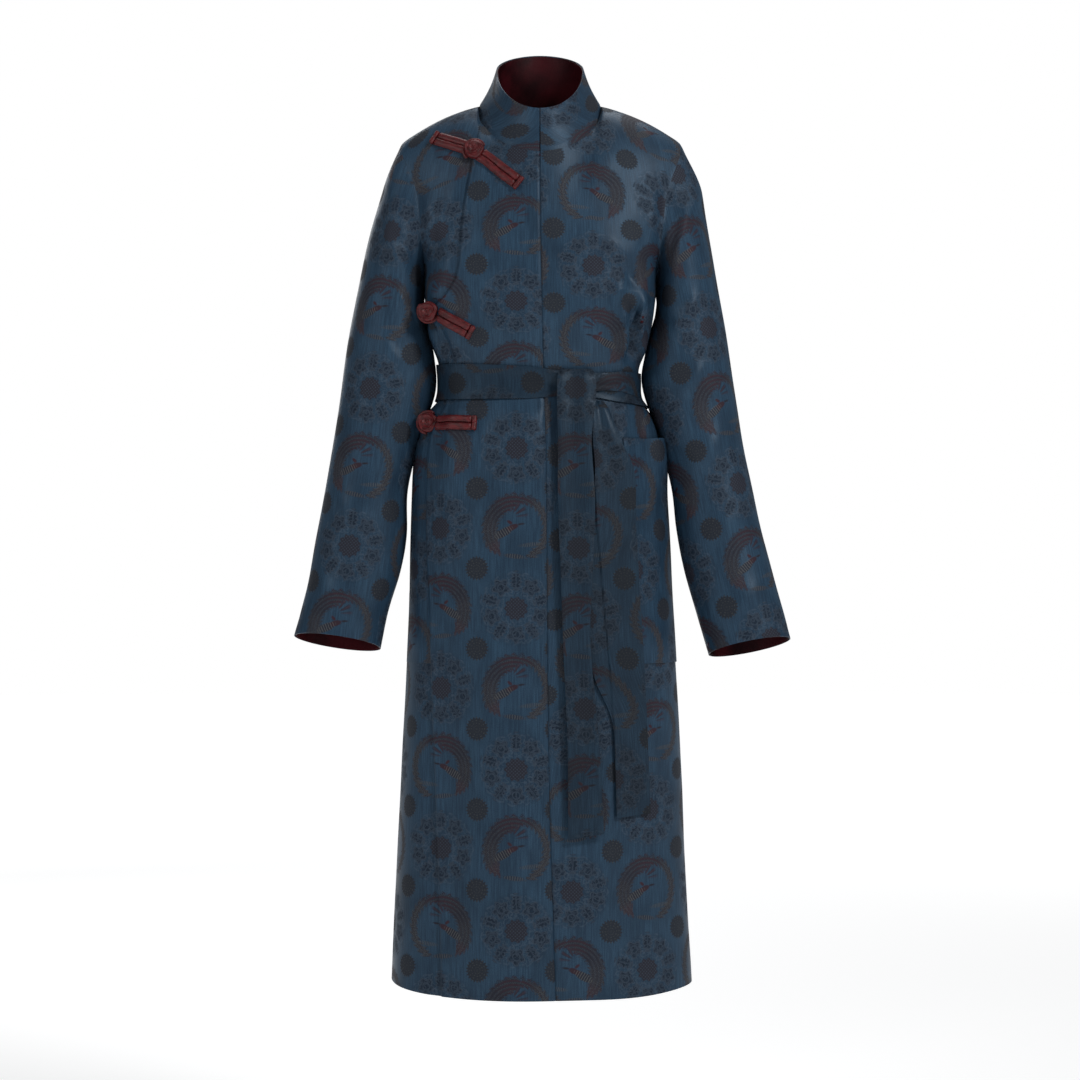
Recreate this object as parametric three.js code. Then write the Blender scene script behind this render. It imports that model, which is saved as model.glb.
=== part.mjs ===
// Brocade wrap coat with a stand collar, cut-in-one sleeves, three frog closures and a tie belt.
// It is worn by nobody and keeps its hollow worn form. Millimetres, +Z up, -Y is the front, +X is the wearer's left.
// The origin is the centre of the neck at the height of the shoulder tips.
import * as THREE from "three";

// Cloth
const WALL = 1.4; // brocade and lining together
const SEAM_GAP_ANGLE = 0.07; // half of a 0.3 mm seam, in degrees round the body
const SEAM_GAP_HEIGHT = 0.25; // half of the same seam where front and back meet on the shoulder
const SEAM_GAP = 0.3;

// Heights
const ARMPIT = -205;
const UPPER = 200; // the span of heights that stands for the way from the armpit level to the shoulder ridge
const RIDGE = ARMPIT + UPPER;
const HEM = -1106;

// Sections below the armpit: half widths towards -X and +X, depths of front and back, and how square the section is.
const SECTIONS = [
  { z: HEM, minusX: 193, plusX: 196, front: 121, back: 132, square: 0.1 },
  { z: -966, minusX: 187, plusX: 189, front: 119, back: 130, square: 0.1 },
  { z: -809, minusX: 180, plusX: 183, front: 116, back: 127, square: 0.1 },
  { z: -613, minusX: 170, plusX: 173, front: 112, back: 124, square: 0.11 },
  { z: -470, minusX: 167, plusX: 165, front: 108, back: 121, square: 0.12 },
  { z: -391, minusX: 161, plusX: 156, front: 102, back: 115, square: 0.14 },
  { z: -358, minusX: 148, plusX: 144, front: 96, back: 105, square: 0.17 },
  { z: -340, minusX: 133, plusX: 130, front: 89, back: 93, square: 0.2 },
  { z: -316, minusX: 130, plusX: 128, front: 87, back: 90, square: 0.22 },
  { z: -290, minusX: 133, plusX: 131, front: 89, back: 93, square: 0.25 },
  { z: -265, minusX: 142, plusX: 141, front: 95, back: 100, square: 0.3 },
  { z: -238, minusX: 147, plusX: 147, front: 99, back: 105, square: 0.33 },
  { z: ARMPIT, minusX: 150, plusX: 151, front: 100, back: 108, square: 0.34 },
];

// The centre front seam and the free edge of the overlap, as their distance from the middle at each height.
const CENTRE_FRONT = [
  { z: HEM, x: 20 },
  { z: -809, x: 11 },
  { z: -470, x: 8 },
  { z: -391, x: 7 },
  { z: -290, x: 4 },
  { z: -150, x: 1 },
  { z: -60, x: 0 },
  { z: 60, x: 0 },
];
const OVERLAP_EDGE = [
  { z: HEM, x: -128 },
  { z: -966, x: -132 },
  { z: -809, x: -137 },
  { z: -613, x: -143 },
  { z: -470, x: -147 },
  { z: -391, x: -141 },
  { z: -345, x: -121 },
  { z: -295, x: -118 },
  { z: -255, x: -133 },
  { z: -228, x: -138 },
  { z: -205, x: -119 },
  { z: -184, x: -107 },
  { z: -129, x: -101 },
  { z: -85, x: -96 },
  { z: -22, x: -84 },
  { z: 40, x: -70 },
];

// Neck, shoulders and armholes
const NECK_COLUMN = 36; // degrees round the body at which the shoulder line meets the collar
const NECK = { halfWidth: 80, front: 80, back: 72, sideY: 5, sideZ: 44, frontDrop: 68, backRise: 16 };
const SHOULDER_TIP = { minusX: 180, plusX: 183, y: 5, z: -4, bulge: 24 };
const CREASE = { minusX: 150, plusX: 156, opening: 62, frontDepth: 66, backDepth: 72 };

// Collar rim
const RIM = { halfWidth: 57, front: 70, back: 60, sideY: 3, sideZ: 101, frontDrop: 70, backRise: 18 };
const COLLAR_WALL = 1.2;
const COLLAR_LIFT = 0.35;
const COLLAR_END = 0.6; // degrees from the middle at which each end of the collar stops
const COLLAR_ROWS = 3;

// Sleeves, a row for each section from the armhole down: outer and inner line, front and back depth, tilt of the opening.
const SLEEVE_MINUS_X = [
  { outX: 203, outZ: -56, inX: 152.5, inZ: -215, front: 60, back: 64, tilt: 0 },
  { outX: 221, outZ: -120, inX: 152.5, inZ: -231, front: 61, back: 62, tilt: 0 },
  { outX: 235, outZ: -185, inX: 151, inZ: -248, front: 61, back: 58, tilt: 0 },
  { outX: 249, outZ: -258, inX: 147.5, inZ: -278, front: 61, back: 53, tilt: 0 },
  { outX: 260, outZ: -335, inX: 149, inZ: -325, front: 62, back: 48, tilt: 1 },
  { outX: 271, outZ: -408, inX: 166, inZ: -385, front: 63, back: 43, tilt: 2 },
  { outX: 282, outZ: -475, inX: 171.5, inZ: -455, front: 65, back: 38, tilt: 3 },
  { outX: 291, outZ: -525, inX: 173, inZ: -515, front: 68, back: 31, tilt: 5 },
  { outX: 300, outZ: -574, inX: 181, inZ: -562, front: 72, back: 24, tilt: 7 },
  { outX: 310, outZ: -613, inX: 196, inZ: -612, front: 76, back: 15, tilt: 9 },
  { outX: 318, outZ: -646, inX: 206, inZ: -662, front: 79, back: 7, tilt: 10 },
];
const SLEEVE_PLUS_X = [
  { outX: 211, outZ: -68, inX: 154, inZ: -215, front: 60, back: 64, tilt: 0 },
  { outX: 222, outZ: -136, inX: 153.5, inZ: -231, front: 61, back: 62, tilt: 0 },
  { outX: 234, outZ: -205, inX: 151.5, inZ: -250, front: 61, back: 58, tilt: 0 },
  { outX: 246, outZ: -280, inX: 147, inZ: -282, front: 61, back: 53, tilt: 0 },
  { outX: 256, outZ: -346, inX: 147, inZ: -328, front: 62, back: 48, tilt: 1 },
  { outX: 266, outZ: -404, inX: 162, inZ: -388, front: 63, back: 43, tilt: 2 },
  { outX: 278, outZ: -462, inX: 170.5, inZ: -452, front: 65, back: 38, tilt: 3 },
  { outX: 288, outZ: -510, inX: 177, inZ: -508, front: 68, back: 31, tilt: 5 },
  { outX: 299, outZ: -556, inX: 187, inZ: -562, front: 72, back: 24, tilt: 7 },
  { outX: 311, outZ: -602, inX: 203, inZ: -618, front: 76, back: 15, tilt: 9 },
  { outX: 324, outZ: -650, inX: 218, inZ: -670, front: 79, back: 7, tilt: 10 },
];
const SLEEVE_STEPS = 2; // rings between one row of the table and the next
const HALF_SLEEVE = 8; // columns on each half of a sleeve, and rows of a panel beside the armhole
const CUFF_LINING = { gap: 0.35, wall: 1.1, from: 8.6, to: 9.97, rings: 4 };

// Layers that lie on the body, as distances out from its surface
const UNDER_FRONT = [-3.5, -1.2, -0.3, 0, 0]; // under the overlap, then column by column towards the side seam
const POCKET = { gap: 0.45, wall: 1.2, top: -392, bottom: -680, gape: 4.5, gapeDepth: 70 };
const BELT = { from: 1.7, to: 4.7 };
const BELT_EDGES = [
  { angle: -90, top: -293, bottom: -343 },
  { angle: -10, top: -299, bottom: -342 },
  { angle: 18, top: -306, bottom: -336 },
  { angle: 45, top: -306, bottom: -345 },
  { angle: 90, top: -306, bottom: -351 },
  { angle: 180, top: -300, bottom: -348 },
  { angle: 270, top: -293, bottom: -343 },
];
const KNOT = { x: 45.5, z: -321, halfWidth: 24.5, halfHeight: 19.2, halfDepth: 10.5, gap: 1.7, power: 0.55 };

// Belt tails, a row for each height: where the two edges hang
const TAIL_FRONT = [
  { z: -340.6, from: 21.5, to: 70 },
  { z: -395, from: 22.7, to: 65.7 },
  { z: -470, from: 22.7, to: 70 },
  { z: -560, from: 26, to: 67 },
  { z: -648, from: 29, to: 64 },
  { z: -771, from: 34.5, to: 74.5 },
  { z: -833, from: 35.4, to: 78 },
  { z: -902, from: 35.4, to: 81 },
];
const TAIL_BACK = [
  { z: -355, from: 66, to: 88 },
  { z: -390, from: 67, to: 101 },
  { z: -433, from: 70, to: 120 },
  { z: -551, from: 76.5, to: 125 },
  { z: -639, from: 82, to: 131 },
  { z: -760, from: 90, to: 137 },
  { z: -875, from: 97.5, to: 141.5 },
];
const TAIL = { wall: 2.2, frontOff: 8.5, backOff: 3.2, columns: 3, rows: 14, hang: 12 };

// Frogs: where the knot button sits, where each wing ends, and how proud the button stands
const FROGS = [
  { name: "frog_1", knot: [-84, -22], wings: { upper: [-138, -2], lower: [-25, -68] }, proud: 0.8, facing: 0.2 },
  { name: "frog_2", knot: [-137, -228], wings: { lower: [-86, -258] }, proud: 6.6, facing: 0.75 },
  { name: "frog_3", knot: [-141, -372], wings: { lower: [-80, -373] }, proud: 4.8, facing: 0.75 },
];
const WING = { halfWidth: 8.2, height: 4.4, floor: 1.6, slot: 0.8, off: 1.1, band: 6, steps: 7, clear: 0.8 };
const BUTTON = { radius: 12.5, height: 9.5, rim: 3 };

// Colours
const BROCADE = new THREE.MeshStandardMaterial({ color: 0x2f4a63, roughness: 0.5, metalness: 0 });
const LINING = new THREE.MeshStandardMaterial({ color: 0x4a161c, roughness: 0.45, metalness: 0 });
const FROG_SATIN = new THREE.MeshStandardMaterial({ color: 0x7a2a33, roughness: 0.4, metalness: 0 });

const vec = (x, y, z) => new THREE.Vector3(x, y, z);
const mix = (a, b, share) => a + (b - a) * share;
const radians = THREE.MathUtils.degToRad;
const smooth = (from, to, value) => THREE.MathUtils.smoothstep(value, from, to);

// A smooth value from one column of a table whose rows rise in key.
function lookUp(table, key, column, at) {
  const last = table.length - 1;
  if (at <= table[0][key]) return table[0][column];
  if (at >= table[last][key]) return table[last][column];
  let i = 0;
  while (table[i + 1][key] < at) i += 1;
  const slope = (k) => {
    const low = table[Math.max(k - 1, 0)];
    const high = table[Math.min(k + 1, last)];
    return (high[column] - low[column]) / (high[key] - low[key]);
  };
  const step = table[i + 1][key] - table[i][key];
  const share = (at - table[i][key]) / step;
  const square = share * share;
  const cube = square * share;
  return (
    table[i][column] * (2 * cube - 3 * square + 1) +
    slope(i) * step * (cube - 2 * square + share) +
    table[i + 1][column] * (3 * square - 2 * cube) +
    slope(i + 1) * step * (cube - square)
  );
}

// The neckline at an angle from the middle of its own half, front or back.
function neckLine(side, share, isFront, ring) {
  const turn = radians(share * 90);
  const depth = isFront ? -ring.front : ring.back;
  const rise = isFront ? -ring.frontDrop : ring.backRise;
  return vec(
    side * ring.halfWidth * Math.sin(turn),
    mix(ring.sideY, depth, Math.cos(turn)),
    ring.sideZ + rise * Math.cos(turn),
  );
}

// Where a column of the upper body ends: on the neckline, or on the ridge of the shoulder.
function topLine(side, share, isFront) {
  const neckShare = NECK_COLUMN / 90;
  if (share <= neckShare) return neckLine(side, share / neckShare, isFront, NECK);
  const out = (share - neckShare) / (1 - neckShare);
  const tip = side < 0 ? SHOULDER_TIP.minusX : SHOULDER_TIP.plusX;
  return vec(
    side * mix(NECK.halfWidth, tip, out),
    mix(NECK.sideY, SHOULDER_TIP.y, out),
    mix(NECK.sideZ, SHOULDER_TIP.z, out) + SHOULDER_TIP.bulge * out * (1 - out),
  );
}

// A point of the closed section at a height, at an angle from the middle of the front.
function sectionPoint(angle, z) {
  const turn = radians(angle);
  const sine = Math.sin(turn);
  const cosine = Math.cos(turn);
  const width = lookUp(SECTIONS, "z", sine < 0 ? "minusX" : "plusX", z);
  const depth = lookUp(SECTIONS, "z", cosine > 0 ? "front" : "back", z);
  const square = lookUp(SECTIONS, "z", "square", z);
  return vec(
    width * sine * (1 + square * cosine * cosine),
    -depth * cosine * (1 + square * sine * sine),
    z,
  );
}

// A point of the body above the armpit level: up from the section there, over the chest or the back, to the top line.
function upperPoint(angle, height) {
  const rise = (height - ARMPIT) / UPPER;
  const side = angle < 0 ? -1 : 1;
  const isFront = Math.abs(angle) <= 90;
  const share = isFront ? Math.abs(angle) / 90 : (180 - Math.abs(angle)) / 90;
  const low = sectionPoint(angle, ARMPIT);
  const top = topLine(side, share, isFront);
  const quarter = (rise * Math.PI) / 2;
  const neck = 1 - smooth(0.05, 0.42, share);
  const up = mix(Math.sin(quarter), rise, neck);
  const over = mix(1 - Math.cos(quarter), rise * rise, neck);
  const open = smooth(0, 0.3, rise);
  const shallow = 1 - (1 - (isFront ? CREASE.frontDepth : CREASE.backDepth) / 100) * share ** 2.5;
  const chest = sectionPoint(isFront ? 0 : 180, ARMPIT).y * shallow;
  const crease = side < 0 ? CREASE.minusX : CREASE.plusX;
  const tip = side < 0 ? SHOULDER_TIP.minusX : SHOULDER_TIP.plusX;
  const edge = mix(crease, tip, smooth(0.42, 0.8, rise));
  const spread = Math.sin(radians(share * CREASE.opening)) / Math.sin(radians(CREASE.opening));
  const openX = mix(side * edge * spread, top.x, rise ** 1.5);
  return vec(
    mix(low.x, openX, open),
    mix(low.y, mix(chest, top.y, over), open),
    mix(low.z, top.z, up),
  );
}

// How far the cloth stands out in its main folds: gathers at the belt, flutes in the skirt, a pinch beside the belt.
function foldHeight(angle, height) {
  const turn = radians(angle);
  const besideSleeve = Math.exp(-(((Math.abs(Math.abs(angle) - 90) / 26) ** 2)));
  const clear = height > -590 ? 1 - besideSleeve : 1;
  const above = smooth(-292, -268, height) * (1 - smooth(-262, -190, height));
  const below = (1 - smooth(-372, -348, height)) * smooth(-480, -380, height);
  const gathers = 2.2 * Math.cos(9 * turn + 0.7) + 1.3 * Math.cos(14 * turn + 2.1);
  const skirt = 1 - smooth(-1000, -420, height);
  const flutes = 3.2 * Math.cos(5 * turn + 0.4) + 1.8 * Math.cos(8 * turn + 1.9);
  const besideKnot = Math.exp(-(((angle - 58) / 9) ** 2)) - 0.8 * Math.exp(-(((angle - 44) / 8) ** 2));
  const pinch = -6 * besideKnot * smooth(-300, -280, height) * (1 - smooth(-270, -200, height));
  return clear * (gathers * (above + below) + flutes * skirt) + pinch;
}

function flatPoint(angle, height) {
  const turn = Math.abs(angle) > 180 ? angle - 360 * Math.sign(angle) : angle;
  return height <= ARMPIT ? sectionPoint(turn, height) : upperPoint(turn, height);
}

// The way out of the cloth, worked out inside the same half of the body.
function outward(angle, height) {
  const turnStep = 0.2;
  const riseStep = 1.5;
  const isFront = Math.abs(angle) <= 90;
  const limit = (a) => (isFront ? Math.max(-90, Math.min(90, a)) : a);
  const backLimit = (a) => (isFront ? a : Math.sign(angle) * Math.max(90.001, Math.abs(a)));
  const place = (a) => backLimit(limit(a));
  const lowest = Math.max(HEM, height - riseStep);
  const highest = Math.min(RIDGE, height + riseStep);
  const across = flatPoint(place(angle + turnStep), height).sub(flatPoint(place(angle - turnStep), height));
  const up = flatPoint(angle, highest).sub(flatPoint(angle, lowest));
  return across.cross(up).normalize();
}

// A point of the body's cloth, moved out by a distance. Angles past 180 wrap round.
function bodyPoint(angle, height, off) {
  const wrapped = angle > 180 ? angle - 360 : angle;
  const out = outward(wrapped, height);
  return flatPoint(wrapped, height).addScaledVector(out, off + foldHeight(wrapped, height));
}

// The angle at which a height's outline crosses a line drawn down the front.
function angleOnLine(line, height, from, to) {
  let low = from;
  let high = to;
  for (let i = 0; i < 40; i += 1) {
    const middle = (low + high) / 2;
    const point = flatPoint(middle, height);
    if (point.x < lookUp(line, "z", "x", point.z)) low = middle;
    else high = middle;
  }
  return (low + high) / 2;
}
const centreAngle = (height) => angleOnLine(CENTRE_FRONT, height, -20, 20);
const edgeAngle = (height) => angleOnLine(OVERLAP_EDGE, height, -86, -10);

// Columns of each panel at a height, from -X to +X, and on round the back.
const spaced = (from, to, cells) => Array.from({ length: cells + 1 }, (_, i) => mix(from, to, i / cells));
const OVERLAP_CELLS = 7;
function stripColumns(height) {
  const edge = edgeAngle(height);
  const nearEdge = mix(mix(edge, -90, 0.25), -NECK_COLUMN, smooth(-60, RIDGE, height));
  return [...spaced(-90, nearEdge, 3), edge];
}
const overlapColumns = (height) => spaced(edgeAngle(height), centreAngle(height), OVERLAP_CELLS);
function leftColumns(height) {
  const centre = centreAngle(height);
  const neck = mix(centre, 90, NECK_COLUMN / 90);
  return [...spaced(centre, neck, 5), ...spaced(neck, 90, 6).slice(1)];
}
const backColumns = () => [
  ...spaced(90, 180 - NECK_COLUMN, 5),
  ...spaced(180 - NECK_COLUMN, 180 + NECK_COLUMN, 10).slice(1),
  ...spaced(180 + NECK_COLUMN, 270, 5).slice(1),
];

// Rows of every panel: the skirt, the belt, and one for each column of the sleeve above the armpit.
const LOW_ROWS = [
  ...spaced(HEM, POCKET.bottom, 6),
  ...spaced(POCKET.bottom, POCKET.top, 5).slice(1),
  -372,
  -356,
  -340,
  -328,
  -316,
  -304,
  -290,
  -270,
  -250,
  -228,
  ARMPIT,
];
const armholeRise = (turn) => (2 / Math.PI) * Math.asin((1 - Math.cos(radians(turn))) / 2);
const HIGH_ROWS = spaced(0, 180, HALF_SLEEVE)
  .slice(1)
  .map((turn) => ARMPIT + UPPER * armholeRise(turn));
const ROWS = [...LOW_ROWS, ...HIGH_ROWS];

// Geometry from a grid of outer points and a grid of inner points. A tube closes on itself, a sheet has two side edges.
function wallGeometry(outer, inner, isTube) {
  const rows = outer.length;
  const columns = outer[0].length;
  const points = [...outer.flat(), ...inner.flat()];
  const faces = [];
  const quad = (a, b, c, d) => faces.push(a, b, c, a, c, d);
  const at = (layer, i, j) => layer * rows * columns + i * columns + (j % columns);
  const cells = isTube ? columns : columns - 1;
  for (let i = 0; i < rows - 1; i += 1)
    for (let j = 0; j < cells; j += 1) {
      quad(at(0, i, j), at(0, i, j + 1), at(0, i + 1, j + 1), at(0, i + 1, j));
      quad(at(1, i, j), at(1, i + 1, j), at(1, i + 1, j + 1), at(1, i, j + 1));
    }
  for (let j = 0; j < cells; j += 1) {
    quad(at(0, 0, j), at(1, 0, j), at(1, 0, j + 1), at(0, 0, j + 1));
    quad(at(0, rows - 1, j), at(0, rows - 1, j + 1), at(1, rows - 1, j + 1), at(1, rows - 1, j));
  }
  if (!isTube)
    for (let i = 0; i < rows - 1; i += 1) {
      quad(at(0, i, 0), at(0, i + 1, 0), at(1, i + 1, 0), at(1, i, 0));
      const end = columns - 1;
      quad(at(0, i, end), at(1, i, end), at(1, i + 1, end), at(0, i + 1, end));
    }
  const geometry = new THREE.BufferGeometry().setFromPoints(points);
  geometry.setIndex(faces);
  geometry.computeVertexNormals();
  return geometry;
}

function named(name, geometry, material) {
  const mesh = new THREE.Mesh(geometry, material);
  mesh.name = name;
  return mesh;
}

// A panel of the body. Seam edges stop short of the column they share with their neighbour.
function panel(name, rows, columnsAt, offAt, material = BROCADE, wall = WALL, trim = [1, 1]) {
  const grid = (depth) =>
    rows.map((height) => {
      const columns = columnsAt(height);
      const last = columns.length - 1;
      return columns.map((angle, k) => {
        const gap = (k === 0 ? trim[0] : 0) - (k === last ? trim[1] : 0);
        const trimmed = Math.min(height, RIDGE - SEAM_GAP_HEIGHT);
        return bodyPoint(angle + gap * SEAM_GAP_ANGLE, trimmed, offAt(k, height) - depth);
      });
    });
  return named(name, wallGeometry(grid(0), grid(wall), false), material);
}

function bodyPanels() {
  const flush = () => 0;
  const underColumns = (height) => [...stripColumns(height), ...overlapColumns(height).slice(1, -1)];
  const underOff = (k) => UNDER_FRONT[Math.max(0, 4 - k)];
  return [
    panel("front_left", ROWS, leftColumns, flush),
    panel("front_overlap", ROWS, overlapColumns, flush),
    panel("front_under", ROWS, underColumns, underOff, BROCADE, WALL, [1, 0]),
    panel("back", ROWS, backColumns, flush),
  ];
}

function pockets() {
  const rows = ROWS.filter((height) => height >= POCKET.bottom - 1 && height <= POCKET.top + 1);
  const gape = (height) => POCKET.gape * smooth(POCKET.top - POCKET.gapeDepth, POCKET.top, height);
  const lift = POCKET.gap + POCKET.wall;
  const leftOff = (k, height) => lift + [0, 0.3, 0.8, 1, 0.7, 0.1][k] * gape(height);
  const rightColumns = (height) => [
    ...stripColumns(height).slice(1),
    ...overlapColumns(height).slice(1, 3),
  ];
  const rightOff = (k) => lift + UNDER_FRONT[Math.max(0, 3 - k)];
  return [
    panel("pocket_left", rows, (height) => leftColumns(height).slice(5, 11), leftOff, BROCADE, POCKET.wall, [0, 0]),
    panel("pocket_right", rows, rightColumns, rightOff, BROCADE, POCKET.wall, [0, 0]),
  ];
}

// The armhole edge of the body, as a point on the sleeve's first ring.
function armholePoint(side, turn) {
  const isFront = turn <= 180;
  const height = ARMPIT + UPPER * armholeRise(isFront ? turn : 360 - turn);
  const angle = side * (isFront ? 90 : 90.001);
  const edge = bodyPoint(angle, Math.min(height, RIDGE - 0.001), 0);
  return edge.add(vec(side * SEAM_GAP, 0, 0));
}

// A point of a sleeve: row 0 is the first row of its table, and a point between two rows is smooth.
function sleevePoint(table, side, row, turn) {
  const cosine = Math.cos(radians(turn));
  const sine = Math.sin(radians(turn));
  const rows = table.map((values, index) => ({ ...values, index }));
  const value = (column) => lookUp(rows, "index", column, row);
  const middleY = (value("back") - value("front")) / 2;
  const halfDepth = (value("back") + value("front")) / 2;
  return vec(
    side * mix(value("inX"), value("outX"), (1 - cosine) / 2),
    middleY - halfDepth * sine,
    mix(value("inZ"), value("outZ"), (1 - cosine) / 2) + value("tilt") * sine,
  );
}

function sleeveRing(table, side, row, depth) {
  const turns = spaced(0, 360, 2 * HALF_SLEEVE).slice(0, -1);
  const step = 0.05;
  const last = table.length - 1;
  return turns.map((turn) => {
    const point = sleevePoint(table, side, row, turn);
    const round = sleevePoint(table, side, row, turn + 1).sub(sleevePoint(table, side, row, turn - 1));
    const down = sleevePoint(table, side, Math.min(row + step, last), turn).sub(
      sleevePoint(table, side, Math.max(row - step, 0), turn),
    );
    const out = round.cross(down).normalize().multiplyScalar(-side);
    return point.addScaledVector(out, -depth);
  });
}

function sleeve(name, table, side) {
  const turns = spaced(0, 360, 2 * HALF_SLEEVE).slice(0, -1);
  const heart = vec(side * 205, 0, -104);
  const edge = turns.map((turn) => armholePoint(side, turn));
  const edgeInside = edge.map((point) => point.clone().addScaledVector(heart.clone().sub(point).normalize(), WALL));
  const rows = spaced(0, table.length - 1, SLEEVE_STEPS * (table.length - 1));
  const outer = [edge, ...rows.map((row) => sleeveRing(table, side, row, 0))];
  const inner = [edgeInside, ...rows.map((row) => sleeveRing(table, side, row, WALL))];
  return named(name, turned(outer, inner, side), BROCADE);
}

// A tube whose rings run the other way round on the -X side.
function turned(outer, inner, side) {
  const flip = (grid) => (side < 0 ? grid : grid.map((ring) => [...ring].reverse()));
  return wallGeometry(flip(outer), flip(inner), true);
}

function cuffLining(name, table, side) {
  const rows = spaced(CUFF_LINING.from, CUFF_LINING.to, CUFF_LINING.rings);
  const depth = WALL + CUFF_LINING.gap;
  const outer = rows.map((row) => sleeveRing(table, side, row, depth));
  const inner = rows.map((row) => sleeveRing(table, side, row, depth + CUFF_LINING.wall));
  return named(name, turned(outer, inner, side), LINING);
}

// The collar stands on the neckline's own columns, from one side of the front seam round to the other.
function collarPieces() {
  const share = (angle) => {
    const wrapped = angle > 180 ? angle - 360 : angle;
    const isFront = Math.abs(wrapped) < 90;
    const fromMiddle = isFront ? Math.abs(wrapped) : 180 - Math.abs(wrapped);
    return { side: wrapped < 0 ? -1 : 1, isFront, part: Math.min(1, fromMiddle / NECK_COLUMN) };
  };
  const columns = [
    COLLAR_END,
    ...leftColumns(RIDGE).slice(1, 6),
    ...backColumns().slice(6, 16),
    ...stripColumns(RIDGE).slice(3).map((angle) => angle + 360),
    ...overlapColumns(RIDGE).slice(1, -1).map((angle) => angle + 360),
    360 - COLLAR_END,
  ];
  const point = (angle, rise) => {
    const { side, isFront, part } = share(angle);
    const base = neckLine(side, part, isFront, NECK);
    const rim = neckLine(side, part, isFront, RIM);
    const bend = 3 * Math.sin(Math.PI * rise);
    const inwards = vec(-rim.x, -rim.y, 0).normalize();
    return base.lerp(rim, rise).addScaledVector(inwards, bend).add(vec(0, 0, COLLAR_LIFT));
  };
  const inward = (angle, rise) => {
    const { side, isFront, part } = share(angle);
    const rim = neckLine(side, part, isFront, RIM);
    return point(angle, rise).setZ(0).lerp(vec(rim.x, rim.y, 0), 0.5).normalize().multiplyScalar(-1);
  };
  const grid = (depth, top) =>
    spaced(0, top, COLLAR_ROWS).map((rise) =>
      columns.map((angle) => point(angle, rise).addScaledVector(inward(angle, rise), depth)),
    );
  const liningDepth = COLLAR_WALL + SEAM_GAP;
  return [
    named("collar", wallGeometry(grid(0, 1), grid(COLLAR_WALL, 1), false), BROCADE),
    named("collar_lining", wallGeometry(grid(liningDepth, 0.98), grid(liningDepth + 1, 0.98), false), LINING),
  ];
}

function beltBand() {
  const height = (BELT_EDGES[0].top + BELT_EDGES[0].bottom) / 2;
  const columns = [
    ...stripColumns(height),
    ...overlapColumns(height).slice(1),
    ...leftColumns(height).slice(1),
    ...backColumns().slice(1, -1),
  ];
  const grid = (off) =>
    spaced(0, 1, 2).map((rise) =>
      columns.map((angle) => {
        const bottom = lookUp(BELT_EDGES, "angle", "bottom", angle);
        const top = lookUp(BELT_EDGES, "angle", "top", angle);
        return bodyPoint(angle, mix(bottom, top, rise), off);
      }),
    );
  return named("belt_band", wallGeometry(grid(BELT.to), grid(BELT.from), true), BROCADE);
}

// The front of the coat at a place seen from the front.
function frontAngle(x, height) {
  return angleOnLine([{ z: HEM, x }, { z: 100, x }], height, -89, 89);
}
function frontPoint(x, z, off) {
  let height = z;
  for (let i = 0; i < 12; i += 1) {
    const found = flatPoint(frontAngle(x, height), height);
    height = Math.min(RIDGE - 1, height + (z - found.z) * 0.8);
  }
  const angle = frontAngle(x, height);
  return { point: bodyPoint(angle, height, off), out: outward(angle, height) };
}

// A rounded solid: a ball whose sides are pressed flat.
function beltKnot() {
  const ball = new THREE.SphereGeometry(1, 16, 10);
  ball.deleteAttribute("uv");
  ball.deleteAttribute("normal");
  const place = ball.getAttribute("position");
  const press = (value) => Math.sign(value) * Math.abs(value) ** KNOT.power;
  for (let i = 0; i < place.count; i += 1)
    place.setXYZ(
      i,
      press(place.getX(i)) * KNOT.halfWidth,
      press(place.getZ(i)) * KNOT.halfDepth,
      -press(place.getY(i)) * KNOT.halfHeight,
    );
  const behind = frontPoint(KNOT.x, KNOT.z, BELT.to).point.y;
  const mesh = named("belt_knot", ball, BROCADE);
  mesh.position.set(KNOT.x, behind - KNOT.gap - KNOT.halfDepth, KNOT.z);
  return mesh;
}

function beltTail(name, table, off) {
  const rising = [...table].reverse();
  const rows = spaced(rising[0].z, table[0].z, TAIL.rows);
  const grid = (depth) =>
    rows.map((z, i) => {
      const hung = (i / TAIL.rows) ** 6 * TAIL.hang * (off > 5 ? 1 : 0);
      return spaced(0, 1, TAIL.columns).map((share) => {
        const x = mix(lookUp(rising, "z", "from", z), lookUp(rising, "z", "to", z), share);
        return frontPoint(x, z, 0).point.add(vec(0, -off - TAIL.wall - hung + depth, 0));
      });
    });
  return named(name, wallGeometry(grid(0), grid(TAIL.wall), false), BROCADE);
}

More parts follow.
